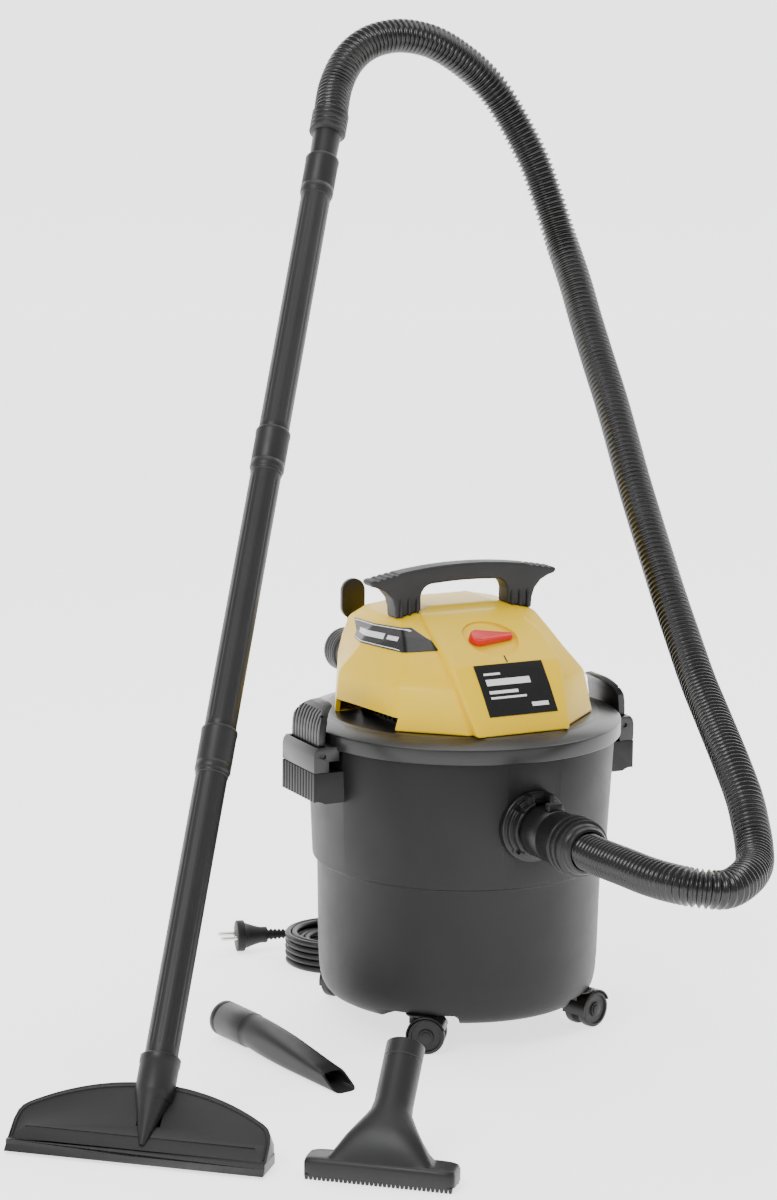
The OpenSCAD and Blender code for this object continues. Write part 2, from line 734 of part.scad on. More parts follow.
module nozzle_brush() {
    color([0.04, 0.04, 0.04]) at_mouth()
        for (y = [2, 26])
            translate([-mouth_slot_half, y, 0]) cube([2 * mouth_slot_half, 6, 3]);
}

// ---- loose tools ----
crevice_at = [-256, 35, 0];
crevice_yaw = 9;
crevice_r = 18.5;
crevice_length = 222;
module at_crevice() {
    translate(crevice_at) rotate([0, 0, crevice_yaw]) children();
}

module crevice_tool() {
    socket_length = 62;
    color([0.1, 0.1, 0.1]) at_crevice() difference() {
        union() {
            translate([0, 0, crevice_r]) rotate([90, 0, 0]) cylinder(r = crevice_r, h = socket_length);
            hull() {
                translate([0, -40, crevice_r]) rotate([90, 0, 0])
                    cylinder(r = crevice_r - 1, h = 20, $fn = hull_fn);
                translate([-13, 30 - crevice_length, 0]) cube([26, 4, 17]);
                translate([-13, -crevice_length, 0]) cube([26, 4, 5]);
            }
        }
        translate([0, 1, crevice_r]) rotate([90, 0, 0]) cylinder(r = crevice_r - 2.5, h = 46);
        hull() {
            translate([0, -44, crevice_r]) rotate([90, 0, 0])
                cylinder(r = crevice_r - 4, h = 20, $fn = hull_fn);
            translate([-11, -crevice_length - 2, 2]) cube([22, 6, 12]);
        }
    }
}

upholstery_at = [-313, -434, 0];
upholstery_yaw = -41.5;
upholstery_half = 72;
neck_r = 18.5;
neck_length = 62;
neck_tilt = -45;
neck_foot = [0, 58, 60];
module at_upholstery() {
    translate(upholstery_at) rotate([0, 0, upholstery_yaw]) children();
}

module along_neck(distance) {
    translate(neck_foot) rotate([neck_tilt, 0, 0]) translate([0, 0, distance]) children();
}

module upholstery_nozzle() {
    color([0.1, 0.1, 0.1]) at_upholstery() difference() {
        union() {
            along_neck(0) cylinder(r = neck_r, h = neck_length);
            hull() {
                along_neck(-2) cylinder(r = neck_r - 1, h = 10, $fn = hull_fn);
                translate([-upholstery_half + 16, 8, 24]) cube([2 * upholstery_half - 32, 22, 8]);
            }
            hull() {
                translate([-upholstery_half + 8, 4, 26]) cube([2 * upholstery_half - 16, 26, 8]);
                translate([-upholstery_half, 0, 5]) cube([2 * upholstery_half, 34, 14]);
            }
        }
        along_neck(neck_length - 44) cylinder(r = neck_r - 2.5, h = 46);
        along_neck(-30) cylinder(r = neck_r - 5, h = 80);
        translate([-upholstery_half + 6, 7, 0]) cube([2 * upholstery_half - 12, 20, 20]);
    }
}

module upholstery_bristles() {
    color([0.04, 0.04, 0.04]) at_upholstery()
        for (y = [1, 28])
            translate([-upholstery_half + 3, y, 0]) cube([2 * upholstery_half - 6, 5, 5]);
}

// ---- power cord ----
coil_at = [-34, 226, 0];
coil_height = 5 * cord_d;
plug_at = [-120, 304, 18];
plug_yaw = -15.3;
plug_length = 65;
plug_end = plug_at + plug_length * [cos(plug_yaw), sin(plug_yaw), 0];
lead_route = [[40, 172, 366], [40, 178, 366], [40, 184, 366], [40, 196, 361], [40, 204, 351], [40, 207, 337],
              [39, 209, 305], [36, 208, 260], [33, 205, 210], [29, 201, 160], [24, 197, 110],
              [19, 196, 80], [14, 200, 55], [12, 211, 38], [11.5, 220, 34]];
tail_route = [[-20, 276.5, 17.5], [-32, 279.9, 17.5], [-45, 283.4, 17.8], plug_end];

module cord_tube(route) {
    color([0.04, 0.04, 0.04]) swept_tube(smooth(route, 2), cord_d / 2, 8, [0, 0.1, 1]);
}

module cord_lead() { cord_tube(lead_route); }
module cord_tail() { cord_tube(tail_route); }

module cord_coil() {
    color([0.04, 0.04, 0.04]) translate(coil_at) rotate_extrude()
        translate([coil_mid_d / 2 - coil_section / 2, 0]) square([coil_section, coil_height]);
}

module at_plug() {
    translate(plug_at) rotate([0, 0, plug_yaw]) rotate([0, 90, 0]) children();
}

module plug_body() {
    color([0.05, 0.05, 0.05]) at_plug() difference() {
        union() {
            cylinder(r = 17.5, h = 9);
            translate([0, 0, 9]) cylinder(r1 = 15, r2 = 9, h = 18);
            translate([0, 0, 27]) cylinder(r = 9, h = 8);
            translate([0, 0, 35]) cylinder(r1 = 6.5, r2 = 4.5, h = plug_length - 35);
        }
        for (y = [-9.5, 9.5])
            translate([0, y, -1]) cylinder(r = 2.4, h = 8);
    }
}

module plug_pins() {
    color([0.75, 0.75, 0.77]) at_plug()
        for (y = [-9.5, 9.5])
            translate([0, y, -19]) cylinder(r = 2.4, h = 26);
}

tank();
inlet_port();
inlet_gasket();
inlet_deflector();
inlet_screws();
caster_fork(0);  // caster_fork_1
caster_fork(1);  // caster_fork_2
caster_fork(2);  // caster_fork_3
caster_fork(3);  // caster_fork_4
caster_wheels(0);  // caster_wheels_1
caster_wheels(1);  // caster_wheels_2
caster_wheels(2);  // caster_wheels_3
caster_wheels(3);  // caster_wheels_4
caster_axle(0);  // caster_axle_1
caster_axle(1);  // caster_axle_2
caster_axle(2);  // caster_axle_3
caster_axle(3);  // caster_axle_4
head_base();
lid_seal();
head_cover();
cover_screws();
front_panel();
side_label();
vent_grille();
carry_handle();
handle_screws();
blower_port();
cord_hook();
cord_gland();
fan_housing();
motor_can();
motor_stator();
motor_rotor();
fan_impeller();
switch_body();
switch_knob();
float_cage();
float_ball();
foam_filter();
latch_left();
latch_right();
latch_pin_left();
latch_pin_right();
hose_cuff();
release_tab();
hose();
hose_end_cuff();
wand_tube(0);  // wand_tube_1
wand_tube(1);  // wand_tube_2
wand_tube(2);  // wand_tube_3
floor_nozzle();
nozzle_brush();
crevice_tool();
upholstery_nozzle();
upholstery_bristles();
cord_lead();
cord_coil();
cord_tail();
plug_body();
plug_pins();
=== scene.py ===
import bpy
import bmesh
import math
from mathutils import Matrix, Vector
from mathutils.bvhtree import BVHTree


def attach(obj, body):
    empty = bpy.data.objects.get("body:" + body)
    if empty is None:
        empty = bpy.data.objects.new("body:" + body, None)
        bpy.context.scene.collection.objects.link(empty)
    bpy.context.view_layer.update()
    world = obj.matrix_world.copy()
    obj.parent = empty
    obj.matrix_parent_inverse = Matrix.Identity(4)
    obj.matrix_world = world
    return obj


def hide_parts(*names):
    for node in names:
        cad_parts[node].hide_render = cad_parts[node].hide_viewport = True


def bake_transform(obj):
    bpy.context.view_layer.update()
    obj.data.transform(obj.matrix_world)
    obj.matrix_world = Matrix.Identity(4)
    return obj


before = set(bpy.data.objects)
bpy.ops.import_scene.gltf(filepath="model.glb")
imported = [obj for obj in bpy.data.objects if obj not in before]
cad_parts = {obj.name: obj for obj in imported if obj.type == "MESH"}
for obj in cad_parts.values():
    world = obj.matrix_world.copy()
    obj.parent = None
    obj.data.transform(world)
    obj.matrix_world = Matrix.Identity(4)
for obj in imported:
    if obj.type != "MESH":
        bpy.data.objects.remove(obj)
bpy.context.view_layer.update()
scene = bpy.context.scene
MM = 0.001   # shapes are drawn in millimetres, on the frame's axes, and made in metres
X, Y, Z = Vector((1, 0, 0)), Vector((0, 1, 0)), Vector((0, 0, 1))

# ---------------------------------------------------------------- camera, fitted to the photo
camera_at = (-1.6752, -3.1144, 1.1261)
look = Vector((0.4462, 0.8749, -0.1885)).normalized()
right = Vector((0.8918, -0.4524, 0.0111))
right = (right - look * right.dot(look)).normalized()
above = right.cross(look)
camera_data = bpy.data.cameras.new("camera")
camera_data.sensor_width = 36
camera_data.lens = 103.4652
camera_data.clip_start, camera_data.clip_end = 0.1, 200
camera = bpy.data.objects.new("camera", camera_data)
scene.collection.objects.link(camera)
camera.matrix_world = Matrix([(right[k], above[k], -look[k], camera_at[k]) for k in range(3)] + [(0, 0, 0,
                                                                                                  1)])
scene.camera = camera


# ---------------------------------------------------------------- materials
def noise(tree, scale, detail, stretch=(1, 1, 1), rough=0.55):
    """A noise texture over the piece's own coordinates."""
    coords = tree.nodes.new("ShaderNodeTexCoord")
    mapping = tree.nodes.new("ShaderNodeMapping")
    mapping.inputs["Scale"].default_value = stretch
    texture = tree.nodes.new("ShaderNodeTexNoise")
    texture.inputs["Scale"].default_value = scale
    texture.inputs["Detail"].default_value = detail
    texture.inputs["Roughness"].default_value = rough
    tree.links.new(coords.outputs["Object"], mapping.inputs["Vector"])
    tree.links.new(mapping.outputs["Vector"], texture.inputs["Vector"])
    return texture.outputs["Fac"]


def ramp(tree, fac, low, high):
    """A blend between two colours over the middle of the noise's range."""
    node = tree.nodes.new("ShaderNodeValToRGB")
    dark, light = node.color_ramp.elements
    dark.position, light.position = 0.3, 0.7
    dark.color, light.color = (*low, 1), (*high, 1)
    tree.links.new(fac, node.inputs["Fac"])
    return node.outputs["Color"]


def spread(tree, fac, low, high):
    """The noise turned into a number between low and high."""
    node = tree.nodes.new("ShaderNodeMapRange")
    node.inputs["From Min"].default_value, node.inputs["From Max"].default_value = 0.25, 0.75
    node.inputs["To Min"].default_value, node.inputs["To Max"].default_value = low, high
    tree.links.new(fac, node.inputs["Value"])
    return node.outputs["Result"]


def finish_surface(name, colour, rough=0.4, vary=0.12, grain=1400, bump=0.12, metal=0.0, coat=0.0,
                   stretch=(1, 1, 1), mottle=9, specular=0.5, rough_vary=0.06):
    """A surface with a cloudy colour, uneven gloss and a fine grain in its bump."""
    material = bpy.data.materials.new(name)
    material.use_nodes = True
    tree = material.node_tree
    shader = tree.nodes["Principled BSDF"]
    low = tuple(c * (1 - vary) for c in colour)
    high = tuple(min(1, c * (1 + vary)) for c in colour)
    tree.links.new(ramp(tree, noise(tree, mottle, 5), low, high), shader.inputs["Base Color"])
    gloss = spread(tree, noise(tree, mottle * 2.3, 6, rough=0.65), rough - rough_vary, rough + rough_vary)
    tree.links.new(gloss, shader.inputs["Roughness"])
    shader.inputs["Metallic"].default_value = metal
    shader.inputs["Specular IOR Level"].default_value = specular
    shader.inputs["Coat Weight"].default_value = coat
    shader.inputs["Coat Roughness"].default_value = 0.12
    relief = tree.nodes.new("ShaderNodeBump")
    relief.inputs["Strength"].default_value = bump
    relief.inputs["Distance"].default_value = 0.0002
    tree.links.new(noise(tree, grain, 3, stretch), relief.inputs["Height"])
    tree.links.new(relief.outputs["Normal"], shader.inputs["Normal"])
    return material


TANK = finish_surface("tank_plastic", (0.006, 0.006, 0.0064), 0.46, 0.10, 1700, 0.25, specular=0.28)
LID = finish_surface("lid_plastic", (0.010, 0.0098, 0.0095), 0.3, 0.08, 1200, 0.06, specular=0.45,
                     rough_vary=0.015)
YELLOW = finish_surface("yellow_plastic", (0.80, 0.52, 0.0), 0.36, 0.03, 900, 0.05, mottle=6, specular=0.35)
RED = finish_surface("red_plastic", (0.60, 0.002, 0.012), 0.3, 0.06, 900, 0.05, coat=0.2)
WHITE = finish_surface("white_plastic", (0.78, 0.78, 0.74), 0.5, 0.04, 900, 0.1)
PRINT = finish_surface("print_white", (0.72, 0.72, 0.72), 0.45, 0.03, 900, 0.02)
GREY = finish_surface("grey_plastic", (0.020, 0.020, 0.021), 0.45, 0.1, 1500, 0.2, specular=0.35)
CLIP = finish_surface("clip_plastic", (0.006, 0.006, 0.0065), 0.34, 0.1, 1200, 0.12, specular=0.45)
HANDLE = finish_surface("handle_rubber", (0.017, 0.017, 0.0175), 0.5, 0.12, 1900, 0.35, specular=0.35)
FITTING = finish_surface("fitting_plastic", (0.006, 0.006, 0.0065), 0.38, 0.1, 1500, 0.2, specular=0.4)
HOSE = finish_surface("hose_plastic", (0.004, 0.004, 0.004), 0.25, 0.15, 1100, 0.05, specular=0.5)
WAND = finish_surface("wand_plastic", (0.012, 0.012, 0.0125), 0.42, 0.1, 1500, 0.2, specular=0.38)
TOOL = finish_surface("tool_plastic", (0.010, 0.010, 0.0105), 0.42, 0.12, 1300, 0.3, specular=0.38)
CASTER = finish_surface("caster_plastic", (0.007, 0.0055, 0.005), 0.32, 0.12, 1200, 0.1, specular=0.45)
WHEEL = finish_surface("wheel_plastic", (0.006, 0.0055, 0.0055), 0.48, 0.15, 1500, 0.25, specular=0.35)
RUBBER = finish_surface("rubber", (0.006, 0.006, 0.006), 0.55, 0.15, 1800, 0.3, specular=0.3)
CORD = finish_surface("cord_rubber", (0.005, 0.005, 0.005), 0.4, 0.15, 1800, 0.15, specular=0.4)
VENT = finish_surface("vent_plastic", (0.005, 0.005, 0.005), 0.55, 0.1, 1500, 0.2, specular=0.3)
LABEL = finish_surface("label_film", (0.004, 0.004, 0.0045), 0.28, 0.1, 600, 0.03, specular=0.4)
STEEL = finish_surface("steel", (0.55, 0.55, 0.57), 0.3, 0.06, 900, 0.12, metal=1.0, stretch=(1, 1, 12))
BLACK_STEEL = finish_surface("black_steel", (0.04, 0.04, 0.042), 0.38, 0.1, 900, 0.12, metal=0.8)
ALUMINIUM = finish_surface("aluminium", (0.72, 0.73, 0.75), 0.32, 0.06, 900, 0.12, metal=1.0,
                           stretch=(12, 1, 1))
COPPER = finish_surface("copper", (0.55, 0.25, 0.10), 0.35, 0.15, 700, 0.5, metal=0.9, stretch=(1, 1, 14))
NICKEL = finish_surface("nickel", (0.70, 0.69, 0.66), 0.22, 0.05, 900, 0.05, metal=1.0)
FOAM = finish_surface("foam", (0.03, 0.03, 0.033), 0.9, 0.3, 420, 1.0, specular=0.2)
BRISTLE = finish_surface("bristle", (0.005, 0.005, 0.005), 0.6, 0.3, 900, 1.0, stretch=(1, 1, 0.05))


# ---------------------------------------------------------------- mesh helpers (millimetres)
def place(at=(0, 0, 0), z=(0, 0, 1), x=None):
    """A frame at a point, with its own Z along z and its X as near to x as it goes."""
    w = Vector(z).normalized()
    hint = Vector(x) if x is not None else (X if abs(w.x) < 0.9 else Y)
    u = (hint - w * hint.dot(w)).normalized()
    v = w.cross(u)
    p = Vector(at)
    return Matrix(((u.x, v.x, w.x, p.x), (u.y, v.y, w.y, p.y), (u.z, v.z, w.z, p.z), (0, 0, 0, 1)))


def yawed(at, degrees):
    """A frame at a point, turned about Z."""
    return Matrix.Translation(Vector(at)) @ Matrix.Rotation(math.radians(degrees), 4, "Z")


def arc(centre, radius, start, stop, steps):
    """The points of an arc between two angles in degrees, both ends among them."""
    angles = [math.radians(start + (stop - start) * i / steps) for i in range(steps + 1)]
    return [(centre[0] + radius * math.cos(a), centre[1] + radius * math.sin(a)) for a in angles]


class Shape:
    """Collects the vertices and faces of one mesh."""

    def __init__(self):
        self.points, self.faces = [], []

    def add(self, points, faces, at=None):
        first = len(self.points)
        self.points += [(at @ Vector(p)) if at is not None else Vector(p) for p in points]
        self.faces += [[i + first for i in f] for f in faces]
        return self

    def rings(self, rings, at=None, caps=True, loop=False):
        """Joins closed rings of equal length, one after the other. loop joins the last to the first."""
        n, count = len(rings[0]), len(rings)
        faces = []
        for i in range(count if loop else count - 1):
            j = (i + 1) % count
            faces += [[i * n + k, i * n + (k + 1) % n, j * n + (k + 1) % n, j * n + k] for k in range(n)]
        if caps and not loop:
            faces += [list(range(n))[::-1], [(count - 1) * n + k for k in range(n)]]
        return self.add([p for ring in rings for p in ring], faces, at)

    def turn(self, profile, n=64, at=None, closed=False):
        """Turns a profile of (radius, height) about Z. A closed profile makes a ring."""
        angles = [2 * math.pi * k / n for k in range(n)]
        rings = []
        for r, z in profile:
            reach = max(r, 0.01)
            rings.append([(reach * math.cos(a), reach * math.sin(a), z) for a in angles])
        return self.rings(rings, at, caps=not closed, loop=closed)

    def prism(self, outline, low, high, at=None):
        """An outline in XY, from height low to height high."""
        return self.rings([[(x, y, low) for x, y in outline], [(x, y, high) for x, y in outline]], at)

    def block(self, low, high, at=None):
        """A box between two opposite corners."""
        (a, b, c), (d, e, f) = low, high
        return self.prism([(a, b), (d, b), (d, e), (a, e)], c, f, at)

    def tube(self, path, radius, n=12, at=None, caps=True):
        """A tube along points. radius is a number or a list of one per point."""
        path = [Vector(p) for p in path]
        last = len(path) - 1
        side = None
        rings = []
        for i, p in enumerate(path):
            t = (path[min(i + 1, last)] - path[max(i - 1, 0)]).normalized()
            if side is None:
                side = t.cross(Z) if abs(t.z) < 0.9 else t.cross(X)
            side = (side - t * side.dot(t)).normalized()
            other = t.cross(side)
            r = radius[i] if isinstance(radius, (list, tuple)) else radius
            ring = []
            for k in range(n):
                a = 2 * math.pi * k / n
                ring.append(p + (side * math.cos(a) + other * math.sin(a)) * r)
            rings.append(ring)
        return self.rings(rings, at, caps)

    def make(self, name, material, body, stands_for, **finish):
        """Makes the shape and finishes it as a piece."""
        return finish_piece(raw(self), name, material, body, stands_for, **finish)


def tidy_mesh(mesh, hard, recalc=True):
    """Makes faces point outwards, shades them smooth and leaves edges over an angle hard."""
    bm = bmesh.new()
    bm.from_mesh(mesh)
    if recalc:
        bmesh.ops.recalc_face_normals(bm, faces=bm.faces)
    for face in bm.faces:
        face.smooth = True
    limit = math.radians(hard)
    for edge in bm.edges:
        edge.smooth = len(edge.link_faces) != 2 or edge.calc_face_angle(0) < limit
    bm.to_mesh(mesh)
    bm.free()
    mesh.update()


def rounding(piece, width, segments, angle):
    """Rounds the edges that are sharper than an angle."""
    modifier = piece.modifiers.new("rounding", "BEVEL")
    modifier.width, modifier.segments = width * MM, segments
    modifier.limit_method, modifier.angle_limit = "ANGLE", math.radians(angle)
    modifier.use_clamp_overlap = True
    apply_modifiers(piece)


def apply_modifiers(piece):
    bpy.context.view_layer.update()
    evaluated = piece.evaluated_get(bpy.context.evaluated_depsgraph_get())
    mesh = bpy.data.meshes.new_from_object(evaluated)
    piece.modifiers.clear()
    old = piece.data
    piece.data = mesh
    bpy.data.meshes.remove(old)
    mesh.name = piece.name


def raw(shape, name="raw"):
    """A plain object of a shape, to carve or to carve with."""
    mesh = bpy.data.meshes.new(name)
    mesh.from_pydata([p * MM for p in shape.points], [], shape.faces)
    thing = bpy.data.objects.new(name, mesh)
    scene.collection.objects.link(thing)
    tidy_mesh(mesh, 180)
    return thing


def carve(thing, *cutters, operation="DIFFERENCE"):
    """Booleans with shapes or plain objects. The cutters are used up."""
    for cutter in cutters:
        tool = raw(cutter) if isinstance(cutter, Shape) else cutter
        modifier = thing.modifiers.new("carve", "BOOLEAN")
        modifier.operation, modifier.solver, modifier.object = operation, "EXACT", tool
        apply_modifiers(thing)
        bpy.data.objects.remove(tool)
    return thing


def finish_piece(thing, name, material, body, stands_for, bevel=0, segments=3, angle=35, hard=38, slot=None,
                 ride=True):
    """Finishes a plain object as a piece that rides on a body and stands for CAD nodes."""
    thing.name = thing.data.name = name
    thing.data.materials.clear()
    thing.data.materials.append(material)
    if bevel:
        bm = bmesh.new()
        bm.from_mesh(thing.data)
        bmesh.ops.remove_doubles(bm, verts=bm.verts, dist=0.00002)
        bmesh.ops.dissolve_limit(bm, angle_limit=math.radians(0.6), verts=bm.verts, edges=bm.edges)
        bm.to_mesh(thing.data)
        bm.free()
        rounding(thing, bevel, segments, angle)
    tidy_mesh(thing.data, hard, recalc=False)
    if ride:
        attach(thing, body)
    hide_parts(*([stands_for] if isinstance(stands_for, str) else stands_for))
    return thing


def superellipse(a, b, power, n):
    """A closed outline between an ellipse (power 2) and a box with rounded corners (a high power)."""
    outline = []
    for k in range(n):
        c, s = math.cos(2 * math.pi * k / n), math.sin(2 * math.pi * k / n)
        outline.append((a * math.copysign(abs(c) ** (2 / power), c),
                        b * math.copysign(abs(s) ** (2 / power), s)))
    return outline


def curve_through(points, steps):
    """A smooth curve through points, with steps points in each span."""
    p = [Vector(q) for q in points]
    out = []
    for i in range(len(p) - 1):
        a, b, c, d = p[max(i - 1, 0)], p[i], p[i + 1], p[min(i + 2, len(p) - 1)]
        for k in range(steps):
            t = k / steps
            out.append(0.5 * (2 * b + (c - a) * t + (2 * a - 5 * b + 4 * c - d) * t * t
                              + (3 * b - a - 3 * c + d) * t ** 3))
    out.append(p[-1])
    return out


def evenly(points, step):
    """The same line with points a given distance apart."""
    out, left = [points[0].copy()], step
    for a, b in zip(points, points[1:]):
        length = (b - a).length
        done = 0
        while length - done >= left:
            done += left
            out.append(a.lerp(b, done / length))
            left = step
        left -= length - done
    if (out[-1] - points[-1]).length < step * 0.4:
        out[-1] = points[-1].copy()
    else:
        out.append(points[-1].copy())
    return out


def paint(material, *nodes):
    """Gives CAD pieces that stay as they are a material."""
    for node in nodes:
        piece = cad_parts[node]
        piece.data.materials.clear()
        piece.data.materials.append(material)


# XY drawings stand up in XZ or in YZ
lying = Matrix(((1, 0, 0, 0), (0, 0, -1, 0), (0, 1, 0, 0), (0, 0, 0, 1)))
across = Matrix(((0, 0, 1, 0), (1, 0, 0, 0), (0, 1, 0, 0), (0, 0, 0, 1)))
sides = (("right", Matrix.Identity(4)), ("left", Matrix.Rotation(math.pi, 4, "Z")))
inlet_z = 243

# ---------------------------------------------------------------- hose, from the inlet to the wand's top
wand_foot, wand_top = Vector((-443, -235, 83)), Vector((-34, 273, 889))
wand_axis = (wand_top - wand_foot).normalized()
wand_length = (wand_top - wand_foot).length
hose_end = wand_top + wand_axis * 36
hose_route = [(0, -246, 243), (0, -290, 243), (0, -340, 245), (2, -385, 246), (10, -422, 247),
              (26, -442, 246),
              (50, -446, 244), (80, -430, 247), (108, -402, 250), (126, -374, 259), (138, -348, 274),
              (150, -316, 294), (166, -264, 319), (187, -199, 344), (206, -136, 371), (220, -84, 403),
              (230, -38, 438), (236, -1, 474), (242, 37, 512), (250, 77, 549), (257, 114, 588),
              (264, 152, 627), (272, 195, 666), (278, 234, 706), (281, 267, 748), (280, 298, 791),
              (272, 316, 836), (260, 330, 880), (240, 347, 927), (217, 357, 963), (183, 361, 992),
              (145, 362, 1012), (104, 362, 1019), (66, 360, 1012), (35, 351, 993), (12, 336, 965),
              hose_end + wand_axis * 22, hose_end]
hose_line = evenly(curve_through(hose_route, 8), 1.0)
corrugation = [15.9, 17.2, 19.0, 19.0, 17.2, 15.9]   # the hose's radius at each millimetre of one ridge
hose_radii = [corrugation[i % 6] for i in range(len(hose_line))]
hose = Shape().tube(hose_line, hose_radii, 32).make("hose_corrugated", HOSE, "tank_body", "hose", hard=180)

# ---------------------------------------------------------------- power cord: lead, coil and tail
cord_d = 7.0
coil_at = Vector((-34, 226, 0))
coil_outer = 52.5   # radius of the turns in the coil's outermost column
plug_at, plug_yaw = Vector((-120, 304, 18)), math.radians(-15.3)
plug_dir = Vector((math.cos(plug_yaw), math.sin(plug_yaw), 0))
plug_end = plug_at + plug_dir * 65
lead_route = [(40, 172, 366), (40, 178, 366), (40, 184, 366), (40, 196, 361), (40, 204, 351),
              (40, 207, 337), (39, 209, 305), (36, 208, 260), (33, 205, 210), (29, 201, 160),
              (24, 197, 110), (19, 196, 80), (14, 200, 55), (11.9, 211, 39.6), (11.2, 219, 34.9)]
# the coil's cells, as (column from outside, row from the floor), in the order that the cord fills them
cells = [(1, 4), (0, 4), (0, 3), (1, 3), (2, 3), (3, 3), (3, 2), (3, 1), (3, 0), (2, 0), (2, 1), (2, 2),
         (1, 2), (1, 1), (1, 0), (0, 0), (0, 1), (0, 2)]


def cell_place(cell):
    """The radius and the height of a cell's middle."""
    column, row = cell
    return coil_outer - cord_d * column, cord_d * (row + 0.5)


coil_turns = len(cells) - 1
coil_sweep = 360 * coil_turns + 74.7
coil_steps = int(coil_sweep / 8)
coil_line = []
for step in range(coil_steps + 1):
    swept = coil_sweep * step / coil_steps
    turn = min(int(swept / 360), coil_turns)
    ring_r, ring_z = cell_place(cells[turn])
    if turn < coil_turns:
        # the cord changes cells over 40 degrees, and earlier in its turn each time
        change_at = 338 - 223 * turn / (coil_turns - 1)
        share = min(max((swept - 360 * turn - change_at) / 40 + 0.5, 0), 1)
        share = share * share * (3 - 2 * share)
        next_r, next_z = cell_place(cells[turn + 1])
        ring_r, ring_z = ring_r + (next_r - ring_r) * share, ring_z + (next_z - ring_z) * share
    angle = math.radians(swept)
    coil_line.append((coil_at.x + ring_r * math.cos(angle), coil_at.y + ring_r * math.sin(angle), ring_z))
tail_route = [(-32, 279.9, 17.5), (-45, 283.4, 17.8), tuple(plug_end), tuple(plug_at + plug_dir * 57)]
cord_line = evenly(curve_through(lead_route + coil_line + tail_route, 4), 3.5)
cord_gap = 0.1   # keeps the coil's turns from touching
cord = Shape().tube(cord_line, (cord_d - cord_gap) / 2, 12).make(
    "power_cord", CORD, "tank_body", ("cord_lead", "cord_coil", "cord_tail"), hard=180, ride=False)

# ---------------------------------------------------------------- tank
caster_angles = [math.radians(225 + 90 * i) for i in range(4)]
caster_places = [Vector((136 * math.cos(a), 136 * math.sin(a), 0)) for a in caster_angles]


def well_shapes(radius, low, high, n=64):
    """A round plug in each of the four caster wells."""
    shape = Shape()
    for p in caster_places:
        shape.turn([(radius, low), (radius, high)], n, place(p))
    return shape


box_outline = [(150, 256), (176.5, 256), (180, 257.9), (183, 258.8), (186, 259), (189, 258.7), (189, 288.5),
               (150, 288.5)]
tank = raw(Shape().turn([(0, 30), (129, 30), (134, 30.8), (138, 33), (141, 36.5), (144, 42), (145.6, 48),
                         (146.8, 56), (148, 75), (149.2, 125), (150, 174), (150.3, 175.3), (151.2, 176.2),
                         (153.6, 177.2), (154.7, 178), (155.1, 179.4), (158.5, 247), (161.6, 311),
                         (162, 319), (0, 319)], 144))
for _, turned in sides:
    carve(tank, Shape().prism(box_outline, -38, 38, turned @ lying), operation="UNION")
cavity = raw(Shape().turn([(0, 33), (127, 33), (134, 36), (138, 41), (142, 50), (145, 75), (147, 175),
                           (152, 180), (159, 319), (159, 324), (0, 324)], 144))
carve(cavity, well_shapes(46, -5, 44))
for p in caster_places:
    carve(cavity, Shape().turn([(12, 40), (12, 65)], 40, place(p)))
carve(tank, cavity, well_shapes(43, -5, 41), well_shapes(5.06, 38, 63, 32),
      Shape().turn([(29, -40), (29, 40)], 64, place((0, -157, inlet_z), -Y)))
for _, turned in sides:
    carve(tank, Shape().block((163, -30, 265), (186, 30, 330), turned))
    grooves = Shape()
    for i in range(-5, 6):
        grooves.turn([(1.3, 240), (1.3, 300)], 12, turned @ place((189.3, i * 6.6, 0)))
    carve(tank, grooves)
finish_piece(tank, "tank_shell", TANK, "tank_body", "tank", 0.8, 2, 40)

# ---------------------------------------------------------------- inlet and hose cuff
inlet = place((0, -148, inlet_z), -Y, X)
flange = raw(Shape().turn([(28, 1), (36.4, 1), (37, 1.6), (37, 13.6), (36.2, 14.5), (33.4, 14.5),
                           (33, 15), (33, 19.8), (32.3, 20.5), (30.4, 20.5), (30, 21), (30, 29.2),
                           (29.2, 30), (26.5, 30), (26.5, 20), (28, 19)], 96, inlet, closed=True))
carve(flange, Shape().turn([(0, 178), (155, 178), (162, 319), (0, 319)], 144))
carve(flange, Shape().block((-14, -176, 269), (14, -157, 278)), operation="UNION")
carve(flange, Shape().block((-8.5, -180, 262), (8.5, -166, 283)))
screw_angles = [math.radians(a) for a in (45, 135, 225, 315)]
for a in screw_angles:
    screw_at = (32 * math.cos(a), -162.5, inlet_z + 32 * math.sin(a))
    carve(flange, Shape().turn([(3.3, 0), (3.3, 30)], 24, place(screw_at, -Y)))
finish_piece(flange, "inlet_flange", FITTING, "tank_body", "inlet_port", 0.5, 2, 40)
Shape().turn([(26.5, -1), (28.95, -1), (28.95, 20), (26.5, 20)], 96, inlet, closed=True).make(
    "inlet_spigot", FITTING, "tank_body", "inlet_port")

cuff = Shape().turn([(16.5, 4), (23, 4), (24, 5), (24, 31), (26.4, 31), (27, 31.8), (27, 60),
                     (26.5, 60.8), (26.5, 63), (27, 63.8), (27.6, 86), (28.4, 88), (30, 89), (30.4, 90),
                     (30.4, 93), (29.6, 94), (28.2, 94.4), (28.2, 97.6), (29.4, 98), (30, 99), (30, 102),
                     (29, 103), (27.6, 103.4), (27.6, 106.6), (28.6, 107), (29.2, 108), (29.2, 111),
                     (28.2, 112), (26.4, 112.6), (24.8, 116.4), (24, 117), (24, 119.4), (22.6, 121.4),
                     (20.4, 122), (19.3, 121), (19.3, 98), (16.5, 96)], 96, inlet, closed=True)
hose_cuff = raw(cuff)
carve(hose_cuff, Shape().block((-8.5, -207, 261.5), (8.5, -147, 276)))
finish_piece(hose_cuff, "hose_cuff_turned", FITTING, "tank_body", "hose_cuff")

